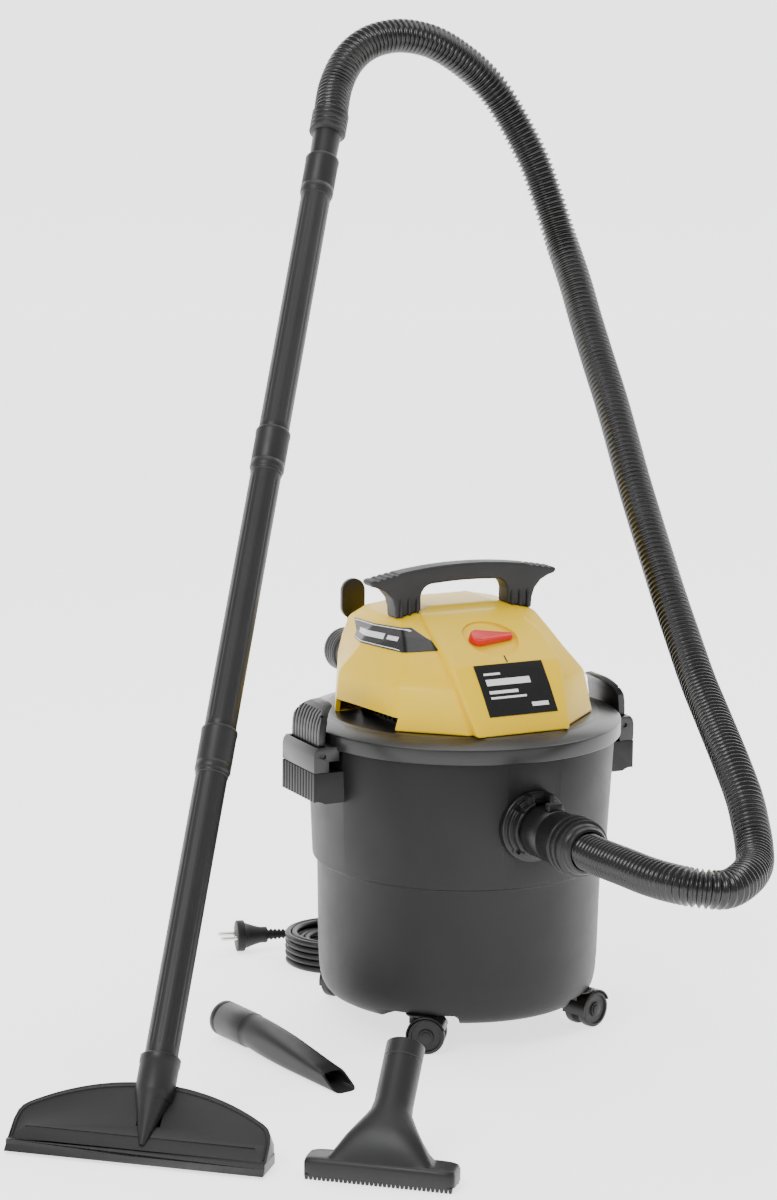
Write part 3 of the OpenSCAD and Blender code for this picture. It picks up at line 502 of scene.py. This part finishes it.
tab_side = [(-204, 264), (-173, 264), (-173, 267.5), (-193, 267.5), (-195, 269), (-195, 274.6),
            (-195.6, 276), (-197.4, 276), (-198, 275.2), (-198.8, 276), (-200.4, 276), (-201, 275.2),
            (-201.8, 276), (-203.4, 276), (-204, 275.2)]
tab = Shape().prism(tab_side, -7.5, 7.5, across)
tab.tube([(-10, -190, 265.5), (10, -190, 265.5)], 1.5, 20)
tab.make("release_tab_moulded", CLIP, "tab", "release_tab", bevel=0.4, segments=2, angle=50,
         slot="fitting_plastic")

# ---------------------------------------------------------------- wand
wand_heading = wand_axis.cross(Z).normalized()


def on_wand(distance):
    """A frame on the wand's axis, that far above its foot."""
    return place(wand_foot + wand_axis * distance, wand_axis, wand_heading)


third = wand_length / 3
neck_top = third - 46   # where a tube's fluted part ends and its socket begins
plain_foot = [(12, -40), (15.6, -40), (16, -39.4), (16, 0)]
spigot_foot = [(12, -36), (13.5, -36), (13.9, -35.5), (13.9, 0), (14.2, 0.1), (15.6, 0.1), (16, 0.7)]
# radius and height, and 1 where the flutes are at their full depth
stem = [(16, 7, 0), (16, 12, 1), (16, neck_top - 16, 1), (16, neck_top - 10, 0), (16, neck_top - 5),
        (16.6, neck_top - 4.4), (16.6, neck_top - 2), (17.2, neck_top - 1), (18, neck_top + 0.6),
        (18, neck_top + 7), (17.6, neck_top + 7.6), (17.6, neck_top + 8.8), (18, neck_top + 9.4),
        (18, third - 5), (18.35, third - 4.4), (18.35, third - 1.2), (17.8, third - 0.1),
        (14.4, third - 0.1), (14, third - 0.8), (14, third - 40), (12, third - 40.4)]
flute_depth = 0.5
for k in range(3):
    rings = []
    for r, z, *fluted in (spigot_foot if k < 2 else plain_foot) + stem:
        depth = flute_depth * sum(fluted)
        ring = []
        for n in range(120):
            angle = 2 * math.pi * n / 120
            reach = r - depth * max(0, math.cos(12 * angle)) ** 2
            ring.append((reach * math.cos(angle), reach * math.sin(angle), z))
        rings.append(ring)
    Shape().rings(rings, on_wand(wand_length - (k + 1) * third), loop=True).make(
        "wand_tube_fluted_%d" % (k + 1), WAND, "tank_body", "wand_tube_%d" % (k + 1))

end_profile = [(12, -35), (13.5, -35), (13.9, -34.4), (13.9, 0), (14.6, 0.3), (15.3, 28), (15.6, 33),
               (18.6, 34.6)]
for z in (37, 43, 49, 55):
    end_profile += [(18.9, z - 2.6), (20.2, z - 1.2), (20.2, z + 0.2), (18.9, z + 1.4)]
end_profile += [(20.2, 58.4), (20.2, 59.4), (19.6, 60), (19.3, 59.4), (19.3, 36.5), (12, 34)]
Shape().turn(end_profile, 96, on_wand(wand_length), closed=True).make(
    "hose_end_cuff_turned", FITTING, "tank_body", "hose_end_cuff")

# ---------------------------------------------------------------- floor nozzle
at_mouth = yawed((-492, -285, 0), -41.5)
on_fan = at_mouth @ Matrix.Translation((0, 2, 10)) @ Matrix.Rotation(math.radians(42), 4, "X")


def half_moon(half, ends, centre, low=-14):
    """The nozzle's outline: short straight ends and an arc over the middle."""
    shoulder = half - 11
    arc_r = (shoulder ** 2 + (centre - ends) ** 2) / (2 * (centre - ends))
    arc_half = math.degrees(math.asin(shoulder / arc_r))
    right_end = [(half, low), (half, 6), (half - 0.6, 24), (half - 2.6, 34), (half - 6, 40)]
    top = arc((0, centre - arc_r), arc_r, 90 - arc_half, 90 + arc_half, 32)
    return right_end + top + [(-x, y) for x, y in right_end[::-1]]


fan = raw(Shape().prism(half_moon(127, 44, 76), -20, 0, on_fan))
carve(fan, Shape().block((-127, 0, 3), (127, 34, 13), at_mouth), operation="UNION")
carve(fan, Shape().block((-136, -60, -60), (136, 140, 3), at_mouth),
      Shape().block((-112, 9, -1), (112, 25, 11), at_mouth),
      Shape().prism(half_moon(111, 36, 66), -14, -4, on_fan @ Matrix.Translation((0, 6, 0))),
      Shape().block((-113, 17, -1.1), (113, 18.6, 0.8), on_fan),
      Shape().turn([(12, -70), (12, -6), (16, -6), (16, 10)], 48, on_wand(0)))
finish_piece(fan, "floor_nozzle_fan", TOOL, "tank_body", "floor_nozzle", 2.2, 3, 35)
rim_line = [on_fan @ Vector((x * 0.972, 20 + (y - 20) * 0.93, 0.1))
            for x, y in half_moon(127, 44, 76, 20)[1:-1]]
Shape().tube(rim_line, 1.1, 10).make("floor_nozzle_rim", TOOL, "tank_body", "floor_nozzle")
neck = [(0, -44), (17, -44), (18.4, -38), (19, -36), (19, -9), (19.6, -8.2), (19.6, -1.4), (18.8, -0.5),
        (16.4, -0.5), (16.05, -1), (16.05, -42), (0, -42)]
Shape().turn(neck, 72, on_wand(0)).make("floor_nozzle_neck", TOOL, "tank_body", "floor_nozzle")

neck_centre = on_fan.inverted() @ (wand_foot - wand_axis * 30)
ridge_foot = on_fan @ Vector((neck_centre.x, 10, -1))
ridge_frame = place(ridge_foot, (wand_foot - wand_axis * 35) - ridge_foot, wand_heading)
rings = []
for share in (0, 0.08, 0.3, 0.6, 1):
    ring = []
    for i in range(48):
        a = 2 * math.pi * i / 48
        top_point = on_wand(-35) @ Vector((18.9 * math.cos(a), 18.9 * math.sin(a), 0))
        low_point = ridge_frame @ Vector((3.2 * math.cos(a), 3.2 * math.sin(a), 0))
        ring.append(low_point.lerp(top_point, share))
    rings.append(ring)
ridge = raw(Shape().rings(rings))
carve(ridge, Shape().turn([(16.05, -42), (16.05, 10)], 48, on_wand(0)))
finish_piece(ridge, "floor_nozzle_ridge", TOOL, "tank_body", "floor_nozzle")

# ---------------------------------------------------------------- loose crevice tool
crevice = yawed((-256, 35, 0), 9)
socket_z = 18.5


def section(y_of, half_w, half_h, mid_z=socket_z, power=2):
    """A ring across the crevice tool. y_of gives a point's y from its height."""
    return [(x, y_of(z + mid_z), z + mid_z) for x, z in superellipse(half_w, half_h, power, 56)]


def flat(y):
    return lambda z: y


def slanted(t):
    """From straight across the neck to the mouth's slant, 30 mm over its height."""
    return lambda z: -62 * (1 - t) + t * (-222 + 30 * max(0, min(1, z / 17)))


outer = [section(flat(y), r, r) for y, r in ((0, 17.9), (-0.6, 18.5), (-6, 18.5), (-6.6, 18), (-8.2, 18),
                                             (-8.8, 18.5), (-52, 18.5), (-53.4, 18.2), (-55, 17.5))]
inner = []
for i in range(9):
    t = i / 8
    power = 2 + 2.4 * min(1, 2.2 * t)
    half_w, half_h = 17.5 - 3.9 * t, 17.5 - 9 * t
    outer.append(section(slanted(t), half_w, half_h, socket_z - 10 * t, power))
    inner.append(section(slanted(t), half_w - 2.4, half_h - 2.2, socket_z - 10 * t, power))
socket = [section(flat(y), r, r) for y, r in ((-58, 15), (-45.5, 15.2), (-45, 16), (-1, 16), (0, 16.6))]
Shape().rings(outer + inner[::-1] + socket, crevice, loop=True).make(
    "crevice_tool_lofted", TOOL, "crevice", "crevice_tool", hard=50)

# ---------------------------------------------------------------- loose upholstery nozzle
upholstery_frame = yawed((-313, -434, 0), -41.5)
# (y, z) of a ring's middle, half its width, half its thickness, its power and its tilt in degrees
stations = [((17, 5), 72, 17, 8, 0), ((17, 6.4), 72, 17, 8, 0), ((17, 16), 72, 16.8, 8, 0),
            ((17, 19.6), 70.8, 15.6, 7, 0), ((17, 20.6), 68, 14.6, 7, 0), ((17, 21.2), 51, 13.6, 6, 0),
            ((17.4, 23), 48.5, 13.2, 5, -3), ((20, 29), 43.5, 13.2, 3.6, -14),
            ((26, 37.6), 36.5, 13.8, 3, -32),
            ((34, 44), 30, 15, 2.5, -42), ((42.4, 49.4), 24.4, 16.4, 2.2, -45),
            ((49, 54), 20, 17.8, 2.05, -45),
            ((58, 60), 18.5, 18.5, 2, -45)]


def tilted(y, z, degrees):
    return upholstery_frame @ Matrix.Translation((0, y, z)) @ Matrix.Rotation(math.radians(degrees), 4, "X")


rings = []
for (y, z), half_w, half_t, power, tilt in stations:
    here = tilted(y, z, tilt)
    rings.append([here @ Vector((px, py, 0)) for px, py in superellipse(half_w, half_t, power, 72)])
neck_frame = tilted(58, 60, -45)
for height, r in ((6, 18.5), (44, 18.5), (44.6, 18), (46.2, 18), (46.8, 18.5), (61.2, 18.5), (62, 17.8)):
    rings.append([neck_frame @ Vector((px, py, height)) for px, py in superellipse(r, r, 2, 72)])
upholstery = raw(Shape().rings(rings))
carve(upholstery, Shape().turn([(13.5, -24), (13.5, 18), (16, 18), (16, 70)], 56, neck_frame),
      Shape().block((-66, 7, -1), (66, 27, 20), upholstery_frame))
finish_piece(upholstery, "upholstery_nozzle_lofted", TOOL, "upholstery", "upholstery_nozzle", 0.6, 2, 45)


# ---------------------------------------------------------------- bristle tufts
def tuft_rows(at, rows, count, first, pitch, tip_half, inset, thick, height):
    """Rows of tufts along X that widen from their tips on the floor to their roots."""
    tufts = Shape()
    for y in rows:
        for i in range(count):
            x = first + i * pitch
            rings = []
            for half, gap, z in ((tip_half, inset, 0), (1.9, 0, height)):
                rings.append([(x - half, y + gap, z), (x + half, y + gap, z),
                              (x + half, y + thick - gap, z), (x - half, y + thick - gap, z)])
            tufts.rings(rings, at)
    return tufts
tuft_rows(upholstery_frame, (1, 28), 34, -68.4, 4.145, 1.1, 0.9, 5, 5.4).make(
    "upholstery_tufts", BRISTLE, "upholstery", "upholstery_bristles")
tuft_rows(at_mouth, (2, 26), 56, -111, 4.036, 1.3, 0.8, 6, 3.6).make(
    "nozzle_tufts", BRISTLE, "tank_body", "nozzle_brush")

# ---------------------------------------------------------------- casters
wheel_at = (10, 0, 19)   # the middle of a caster's axle, before the caster is turned
hood = arc((0, 0), 1, 22, 190, 24)
tread = [(2.5, -4.6), (7, -4.6), (7.6, -4.9), (8, -5), (14.8, -5), (15.4, -4.9), (17, -5), (18.2, -4.7),
         (18.8, -3.9), (19, -2.8), (19, 2.8), (18.8, 3.9), (18.2, 4.7), (17, 5), (15.4, 5), (14.8, 3.4),
         (8, 3.2), (7.4, 4.9), (6.8, 5), (2.5, 5)]
hub_cap = [(0, 4.9), (5.6, 4.9), (5.4, 5.9), (4.4, 6.2), (0, 6.3)]
hood_band = [(19.7, 15.2), (21.2, 14.6), (21.2, -14.6), (19.7, -15.2), (19.4, -14.4), (19.4, 14.4)]
hood_web = [(19.6, 3.4), (19.6, -3.4), (8, -3.4), (8, 3.4)]
for i, heading in enumerate((-35, 20, -60, 30)):
    here = yawed(caster_places[i], heading)
    number = "_%d" % (i + 1)
    fork = Shape().turn([(0, 38.6), (12.6, 38.6), (13, 39), (13, 40.1), (12.6, 40.5), (5, 40.5),
                         (5, 59.6), (4, 60.9), (0, 60.9)], 48, here)
    fork.turn([(2.56, 0), (7, 0), (7, 8), (2.56, 8)], 48, here @ place((10, 4, 19), -Y), closed=True)
    fork.prism([(-9, 30), (-9, 37.5), (-7, 38.8), (12, 38.8), (12, 22), (4, 22)], -3, 3, here @ lying)
    for band in (hood_band, hood_web):
        fork.rings([[(c * r, s * r, w) for r, w in band] for c, s in hood],
                   here @ Matrix.Translation(wheel_at) @ lying)
    fork.make("caster_fork_hooded" + number, CASTER, "caster" + number, "caster_fork" + number)
    wheels = Shape()
    for way in (-1, 1):
        wheel_frame = here @ place((10, way * 9.4, 19), Y * way)
        wheels.turn(tread, 64, wheel_frame, closed=True)
        wheels.turn(hub_cap, 32, wheel_frame)
    wheels.make("caster_wheels_turned" + number, WHEEL, "wheel" + number, "caster_wheels" + number)

# ---------------------------------------------------------------- lid
lid = raw(Shape().turn([(76, 331), (140, 331), (164.8, 323), (164.8, 311.6), (165.4, 311), (167.4, 311),
                        (168, 311.6), (168, 325), (167.7, 326.3), (166.6, 327), (160, 328.9),
                        (147.5, 332.6), (146, 332.9), (144.6, 333.8), (143.4, 334),
                        (76, 334)], 160, closed=True))
pin_at = (178, 0, 306)   # the right latch's pin, which runs along Y
lid_box = [(160, 289), (188.4, 289), (189, 289.8), (189, 306), (188, 311), (185, 315), (160, 315)]
for _, turned in sides:
    box = raw(Shape().prism(lid_box, -38, 38, turned @ lying))
    carve(box, Shape().block((150, -39, 288), (172, 39, 300), turned),
          Shape().block((171.5, -33, 288), (184.5, 33, 330), turned),
          Shape().turn([(0, 280), (164.8, 280), (164.8, 325), (0, 325)], 160))
    carve(lid, box, operation="UNION")
    carve(lid, Shape().turn([(2.5, -52), (2.5, 52)], 32, turned @ place(pin_at, Y)))
finish_piece(lid, "lid_ring", LID, "head", "head_base", 0.9, 3, 40)

# ---------------------------------------------------------------- yellow cover
levels = [334.2, 378, 400, 421, 435, 445]
# half of the outline at each level, from the front to the back
outlines = [[(58, -126), (116, -75), (131, 35), (90, 116), (82, 128)],
            [(60, -101), (110, -66), (127, 33), (90, 112), (80, 124)],
            [(60, -78), (93, -56), (108, 30), (88, 106), (78, 118)],
            [(60, -46), (84, -32), (92, 30), (84, 98), (76, 108)],
            [(66, -16), (78, -14), (82, 20), (78, 74), (70, 84)],
            [(34, 2), (38, 6), (38, 58), (34, 62), (30, 62)]]
# height, half width and front y of the raised block that carries the switch
block_sides = [(334.2, 54, -138), (378, 61, -112), (400, 62.5, -97), (421, 61, -62), (439, 56, -14),
               (442, 50, 6)]
cover_wall = 4.2


def front_block(inset):
    rings = []
    for z, half, y in block_sides:
        level = z - (inset if z > levels[0] else 0)
        half -= inset
        rings.append([(half, y + inset, level), (half, 40, level), (-half, 40, level),
                      (-half, y + inset, level)])
    return Shape().rings(rings)


def cover_shell(inset):
    rings = []
    for z, half in zip(levels, outlines):
        level = z - (inset if z > levels[0] else 0)
        ring = [(x - inset, y - inset * math.copysign(1, y - 30) * 0.9, level) for x, y in half]
        rings.append(ring + [(-x, y, z) for x, y, z in ring[::-1]])
    return Shape().rings(rings)


knob_frame = Matrix.Translation((0, -62, 421)) @ Matrix.Rotation(math.radians(27), 4, "X")
blower = place((-62, 0, 373), Y, X)
gland = place((40, 0, 366), Y, X)
cover = raw(cover_shell(0))
rounding(cover, 5, 4, 12)
block = raw(front_block(0))
rounding(block, 4, 4, 12)
carve(cover, block, operation="UNION")
cover.data.calc_loop_triangles()
cover_points = [v.co / MM for v in cover.data.vertices]
cover_surface = BVHTree.FromPolygons(cover_points, [list(t.vertices) for t in cover.data.loop_triangles])
hollow = raw(cover_shell(cover_wall))
carve(hollow, front_block(cover_wall), operation="UNION")
carve(hollow, Shape().turn([(33.4, -8.4), (33.4, 14)], 64, knob_frame))
carve(cover, hollow, Shape().turn([(29.2, -5), (29.9, -4.4), (30, -3.5), (30, 16)], 72, knob_frame),
      Shape().turn([(5.06, -22), (5.06, 10)], 32, knob_frame),
      Shape().block((-160, -74, 333), (-100, 34, 348)), Shape().block((100, -74, 333), (160, 34, 348)),
      Shape().turn([(22, 90), (22, 150)], 56, blower), Shape().turn([(6, 90), (6, 150)], 40, gland))
finish_piece(cover, "cover_shell", YELLOW, "head", "head_cover", hard=25)


# ---------------------------------------------------------------- labels, plain bars for print, the line
def on_line(points, t):
    """The point at share t along a polyline of 2-D points."""
    lengths = [math.dist(a, b) for a, b in zip(points, points[1:])]
    left = t * sum(lengths)
    for a, b, size in zip(points, points[1:], lengths):
        if left <= size + 1e-9:
            return (a[0] + (b[0] - a[0]) * left / size, a[1] + (b[1] - a[1]) * left / size)
        left -= size
    return points[-1]


def film(name, material, area, lift, thick, columns, rows, s_range=(0, 1), t_range=(0, 1)):
    """A thin film draped on the cover, over an area between two lines or over a part of it."""
    lower, upper, start, way, stands_for = area
    face = []
    for j in range(rows + 1):
        s = s_range[0] + (s_range[1] - s_range[0]) * j / rows
        for i in range(columns + 1):
            t = t_range[0] + (t_range[1] - t_range[0]) * i / columns
            a, b = on_line(lower, t), on_line(upper, t)
            origin = start(a[0] + (b[0] - a[0]) * s, a[1] + (b[1] - a[1]) * s)
            hit, normal = cover_surface.ray_cast(origin, way)[:2]
            if hit is None:
                hit, normal = cover_surface.find_nearest(origin + way * 130)[:2]
            if normal.dot(way) > 0:
                normal = -normal
            face.append((hit, normal))
    points = [hit + normal * lift for hit, normal in face] + [hit + normal * (lift - thick) for hit,
                                                              normal in face]
    count, width = len(face), columns + 1
    faces = []
    for j in range(rows):
        for i in range(columns):
            k = j * width + i
            faces.append([k, k + 1, k + width + 1, k + width])
            faces.append([count + k + width, count + k + width + 1, count + k + 1, count + k])
    edge = list(range(width)) + [(j + 1) * width - 1 for j in range(1, rows + 1)]
    edge += [rows * width + i for i in range(columns - 1, -1, -1)]
    edge += [j * width for j in range(rows - 1, 0, -1)]
    for a, b in zip(edge, edge[1:] + edge[:1]):
        faces.append([b, a, count + a, count + b])
    Shape().add(points, faces).make(name, material, "head", stands_for, hard=30)


def front_start(x, z):
    return Vector((x, -220, z))


def left_start(y, z):
    return Vector((-220, y, z))


front = ([(-35, 352), (44, 352)], [(-39, 399.5), (40, 399.5)], front_start, Y, "front_panel")
film("front_label_film", LABEL, front, 0.7, 0.8, 20, 16)
front_bars = [((0.60, 0.72), (0.10, 0.74)), ((0.44, 0.50), (0.10, 0.52)), ((0.34, 0.38), (0.10, 0.62)),
              ((0.80, 0.84), (0.10, 0.34)), ((0.14, 0.22), (0.66, 0.90))]
for k, (up, along) in enumerate(front_bars):
    film("front_label_bar_%d" % (k + 1), PRINT, front, 0.95, 0.3, 12, 3, up, along)
mark = ([(0.5, 400.6), (2.1, 400.6)], [(1.3, 405.6), (2.7, 405.6)], front_start, Y, "front_panel")
film("indicator_line", LABEL, mark, 0.4, 0.5, 2, 6)

left = ([(57, 405.5), (-40, 407.5), (-62, 411)], [(79, 422), (-24, 429), (-63.4, 412.4)], left_start, X,
        "side_label")
film("side_label_film", LABEL, left, 0.9, 1.2, 80, 24)
left_bars = [((0.36, 0.62), (0.10, 0.52)), ((0.40, 0.58), (0.56, 0.70)), ((0.91, 0.945), (0.02, 0.74)),
             ((0.05, 0.085), (0.02, 0.78))]
for k, (up, along) in enumerate(left_bars):
    film("side_label_bar_%d" % (k + 1), PRINT, left, 1.15, 0.3, 30, 6, up, along)

# ---------------------------------------------------------------- switch knob
def teardrop(inset):
    """The outline round two circles of radii 9 and 3, at x -15 and 23."""
    reach = math.degrees(math.acos((9 - 3) / (23 + 15)))
    return arc((-15, 0), 9 - inset, reach, 360 - reach, 39) + arc((23, 0), 3 - inset, -reach, reach, 15)


rings = []
for level, inset in ((-4.5, 0.5), (-3.9, 0), (2.6, 0.1), (3.7, 0.5), (4.3, 1.2), (4.5, 2.2)):
    ring = []
    for x, y in teardrop(inset):
        share = min(max((x + 15) / 38, 0), 1)
        ring.append((x, y, level if level < 0 else level * (1 - share * 0.62)))
    rings.append(ring)
knob = Shape().rings(rings, knob_frame)
knob.turn([(0, -7.9), (4.9, -7.9), (4.9, -4), (0, -4)], 40, knob_frame)
knob.turn([(0, -18.4), (2.85, -18.4), (2.85, -7.5), (0, -7.5)], 32, knob_frame)
knob.make("switch_knob_moulded", RED, "switch", "switch_knob", hard=32)

# ---------------------------------------------------------------- carry handle
grip_top, grip_half, grip_rise = 488, 109, 12   # the grip is a flat arc
grip_r = (grip_half ** 2 + grip_rise ** 2) / (2 * grip_rise)
grip_angle = math.degrees(math.asin(grip_half / grip_r))
end_side = [(109, 473), (107, 470.4), (100, 468.6), (91, 464), (84, 456), (81, 447), (80, 434.8),
            (51, 441.2), (51, 456)]
arch = [(-x, z) for x, z in end_side]
arch += arc((-37, 455), 14, 180, 90, 8)[1:]
arch += [(x, 469 + 1.4 * math.cos(math.pi * x / 74)) for x in (-20, 0, 20)]
arch += arc((37, 455), 14, 90, 0, 8)[:-1]
arch += end_side[::-1] + arc((0, grip_top - grip_r), grip_r, 90 - grip_angle, 90 + grip_angle, 28)
handle = raw(Shape().prism(arch, -17, 5, lying))
rounding(handle, 4.6, 5, 50)


def grip_z(x):
    """The grip's top at x."""
    return grip_top - grip_r + math.sqrt(grip_r ** 2 - x * x)


notches = Shape()
for way in (-1, 1):
    for k in range(4):
        x = way * (101 - 7.2 * k)
        notches.tube([(x, -20, grip_z(x) + 1.6), (x, 40, grip_z(x) + 1.6)], 3.1, 18)
carve(handle, notches)
groove_x = [-74 + 148 * k / 24 for k in range(25)]
for y in (-3.4, 15.4):
    carve(handle, Shape().tube([(x, y, grip_z(x) + 0.1) for x in groove_x], 0.9, 8))
finish_piece(handle, "carry_handle_moulded", HANDLE, "head", "carry_handle", hard=42)
feet = Shape()
for way in (-1, 1):
    for k in range(3):
        x = way * (56 + 9.4 * k)
        feet.tube([(x, -6.2, 441.5 - 0.22 * (abs(x) - 51)), (x, -6.2, 452), (x, -5, 456)], [1.5, 1.5, 0.6],
                  10)
feet.make("carry_handle_ribs", HANDLE, "head", "carry_handle")

# ---------------------------------------------------------------- blower port, hook, gland
port_profile = [(17.5, 98), (21.8, 98), (21.8, 130), (23, 131)]
for y in (134, 139, 144, 149):
    port_profile += [(23.5, y - 2.4), (23.5, y - 0.9), (22.9, y - 0.5), (22.9, y + 0.5), (23.5, y + 0.9)]
port_profile += [(23.5, 154), (22.6, 155), (18.4, 155), (17.5, 154.2)]
Shape().turn(port_profile, 80, blower, closed=True).make("blower_port_turned", GREY, "head", "blower_port")

stadium = arc((-62, 440), 13.5, 0, 180, 16) + arc((-62, 423.4), 13.5, 180, 360, 16)
hook = raw(Shape().prism(stadium, -136, -131, lying))
carve(hook, Shape().block((-67, 131.02, 398.2), (-57, 135.98, 414)),
      Shape().block((-67, 112, 398.1), (-57, 135.98, 403)), operation="UNION")
finish_piece(hook, "cord_hook_moulded", CLIP, "head", "cord_hook", 1.4, 3, 40)


def relief_ribs(first, pitch, count, root_r, taper, gap, width, rise, fall):
    """Ribs of a strain relief that gets thinner along its length."""
    profile = []
    for k in range(count):
        y = first + pitch * k
        r = root_r - taper * (y - first)
        profile += [(r - gap, y), (r - gap, y + width), (r, y + rise), (r, y + fall)]
    return profile


gland_profile = [(3.6, 122), (5.8, 122), (5.8, 128), (8.4, 128.2), (8.6, 129), (8.6, 131.5), (7.6, 132.4)]
gland_profile += relief_ribs(134, 5.2, 7, 7.77, 0.065, 1.0, 1.6, 2.2, 4.2)
gland_profile += [(5.0, 170.6), (4.7, 172), (3.6, 172)]
Shape().turn(gland_profile, 48, gland, closed=True).make("cord_gland_ribbed", RUBBER, "head", "cord_gland")

# ---------------------------------------------------------------- latches
lever_side = [(174.5, 284.6), (175.2, 284), (179.8, 284), (180.5, 284.8), (181, 312), (181, 322),
              (180.6, 331), (179.4, 338), (176.4, 346), (172, 351.4), (168, 354.6), (164, 356.4),
              (161, 357), (159.4, 356.2), (158.8, 354.4), (159.6, 353), (163, 351), (167, 347.6),
              (170.4, 342.6), (172.4, 336), (173.4, 328), (174, 318)]
shoulder = [(36, 318), (30, 314), (26, 311), (26, 278)]
front_outline = arc((0, 322), 36, 0, 180, 28) + [(-x, z) for x, z in shoulder] + shoulder[::-1]
for side, turned in sides:
    pin_frame = turned @ place(pin_at, Y)
    lever = raw(Shape().prism(lever_side, -32, 32, turned @ lying))
    carve(lever, Shape().prism(front_outline, 130, 200, turned @ across), operation="INTERSECT")
    carve(lever, Shape().turn([(5.4, -30), (5.4, 30)], 40, pin_frame), operation="UNION")
    ridges = Shape()
    for k in range(-4, 5):
        y = k * 6.6
        ridge_top = min(322 + math.sqrt(34.4 ** 2 - y ** 2), 350.6)
        ridge_line = [(181.9, y, 312.6), (181.9, y, 326), (180.9, y, 336), (177.2, y, 345.6),
                      (173.4, y, ridge_top)]
        ridges.tube([turned @ Vector(p) for p in ridge_line], 1.7, 12)
    carve(lever, Shape().turn([(2.56, -42), (2.56, 42)], 32, pin_frame), ridges)
    finish_piece(lever, "latch_lever_" + side, CLIP, "latch_" + side[0], "latch_" + side, 0.7, 2, 40)

# ---------------------------------------------------------------- plug
plug = place(plug_at, plug_dir, Z)
plug_profile = [(0, 0), (16.6, 0), (17.3, 0.5), (17.5, 1.4), (17.5, 7.8), (17, 8.7), (15.6, 9), (14.6, 9.8),
                (12.4, 16), (10.4, 22), (9.4, 26), (9, 28), (9, 34), (8.4, 35), (6.6, 35.4)]
plug_profile += relief_ribs(37, 4.6, 6, 6.272, 0.064, 1.3, 1.5, 2, 3.8)
plug_profile += [(4.5, 64.4), (4.3, 65), (0, 65)]
Shape().turn(plug_profile, 64, plug).make("plug_moulded", RUBBER, "tank_body", "plug_body")
pins = Shape()
for x in (-9.5, 9.5):
    pins.turn([(0, -19), (1.1, -19), (1.9, -18.4), (2.4, -17.2), (2.4, -0.1), (0, -0.1)], 28,
              plug @ Matrix.Translation((0, x, 0)))
pins.make("plug_pins_turned", NICKEL, "tank_body", "plug_pins")

# ---------------------------------------------------------------- CAD pieces kept as they are
paint(RUBBER, "inlet_gasket", "lid_seal")
paint(FITTING, "inlet_deflector")
paint(VENT, "vent_grille", "float_cage", "switch_body")
paint(GREY, "fan_housing")
paint(BLACK_STEEL, "inlet_screws", "latch_pin_left", "latch_pin_right")
paint(STEEL, "cover_screws", "handle_screws", "motor_can", *["caster_axle_%d" % (i + 1) for i in range(4)])
paint(COPPER, "motor_stator", "motor_rotor")
paint(ALUMINIUM, "fan_impeller")
paint(WHITE, "float_ball")
paint(FOAM, "foam_filter")
paint(LABEL, "front_panel", "side_label")

# ---------------------------------------------------------------- cords
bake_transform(cord)

# ---------------------------------------------------------------- floor and light
away = Vector((0.4543, 0.8908, 0))   # away from the camera, over the floor
aside = Vector((away.y, -away.x, 0))
sweep = [(-60000, 0), (7000, 0)] + arc((7000, 3000), 3000, -90, 0, 16)[1:] + [(10000, 9000)]
paper_points = [away * d + Z * h + aside * w for d, h in sweep for w in (-30000, 30000)]
paper_faces = [[2 * i, 2 * i + 1, 2 * i + 3, 2 * i + 2] for i in range(len(sweep) - 1)]
PAPER = finish_surface("studio_paper", (0.9, 0.9, 0.9), 0.75, 0.01, 300, 0.02, mottle=2, specular=0.1)
paper_shader = PAPER.node_tree.nodes["Principled BSDF"]
paper_shader.inputs["Emission Color"].default_value = (1, 1, 1, 1)
paper_shader.inputs["Emission Strength"].default_value = 1.7
backdrop = raw(Shape().add(paper_points, paper_faces), "studio_floor")
backdrop.data.materials.append(PAPER)
tidy_mesh(backdrop.data, 60, recalc=False)

world = bpy.data.worlds.new("studio")
scene.world = world
world.use_nodes = True
world.node_tree.nodes["Background"].inputs["Color"].default_value = (1, 1, 1, 1)
world.node_tree.nodes["Background"].inputs["Strength"].default_value = 0.7


def area_light(name, at, towards, size, watts):
    data = bpy.data.lights.new(name, "AREA")
    data.shape, data.size, data.size_y, data.energy = "RECTANGLE", size[0], size[1], watts
    lamp = bpy.data.objects.new(name, data)
    scene.collection.objects.link(lamp)
    lamp.location = at
    lamp.rotation_euler = (Vector(towards) - Vector(at)).to_track_quat("-Z", "Y").to_euler()


area_light("key", (-2.6, -1.6, 2.9), (0, 0, 0.35), (1.6, 1.2), 75)
area_light("rim", (2.4, 0.4, 2.6), (0, 0, 0.4), (1.2, 1.6), 26)
area_light("top", (0.1, 0.5, 3.4), (0, 0, 0.4), (2.4, 2.4), 48)
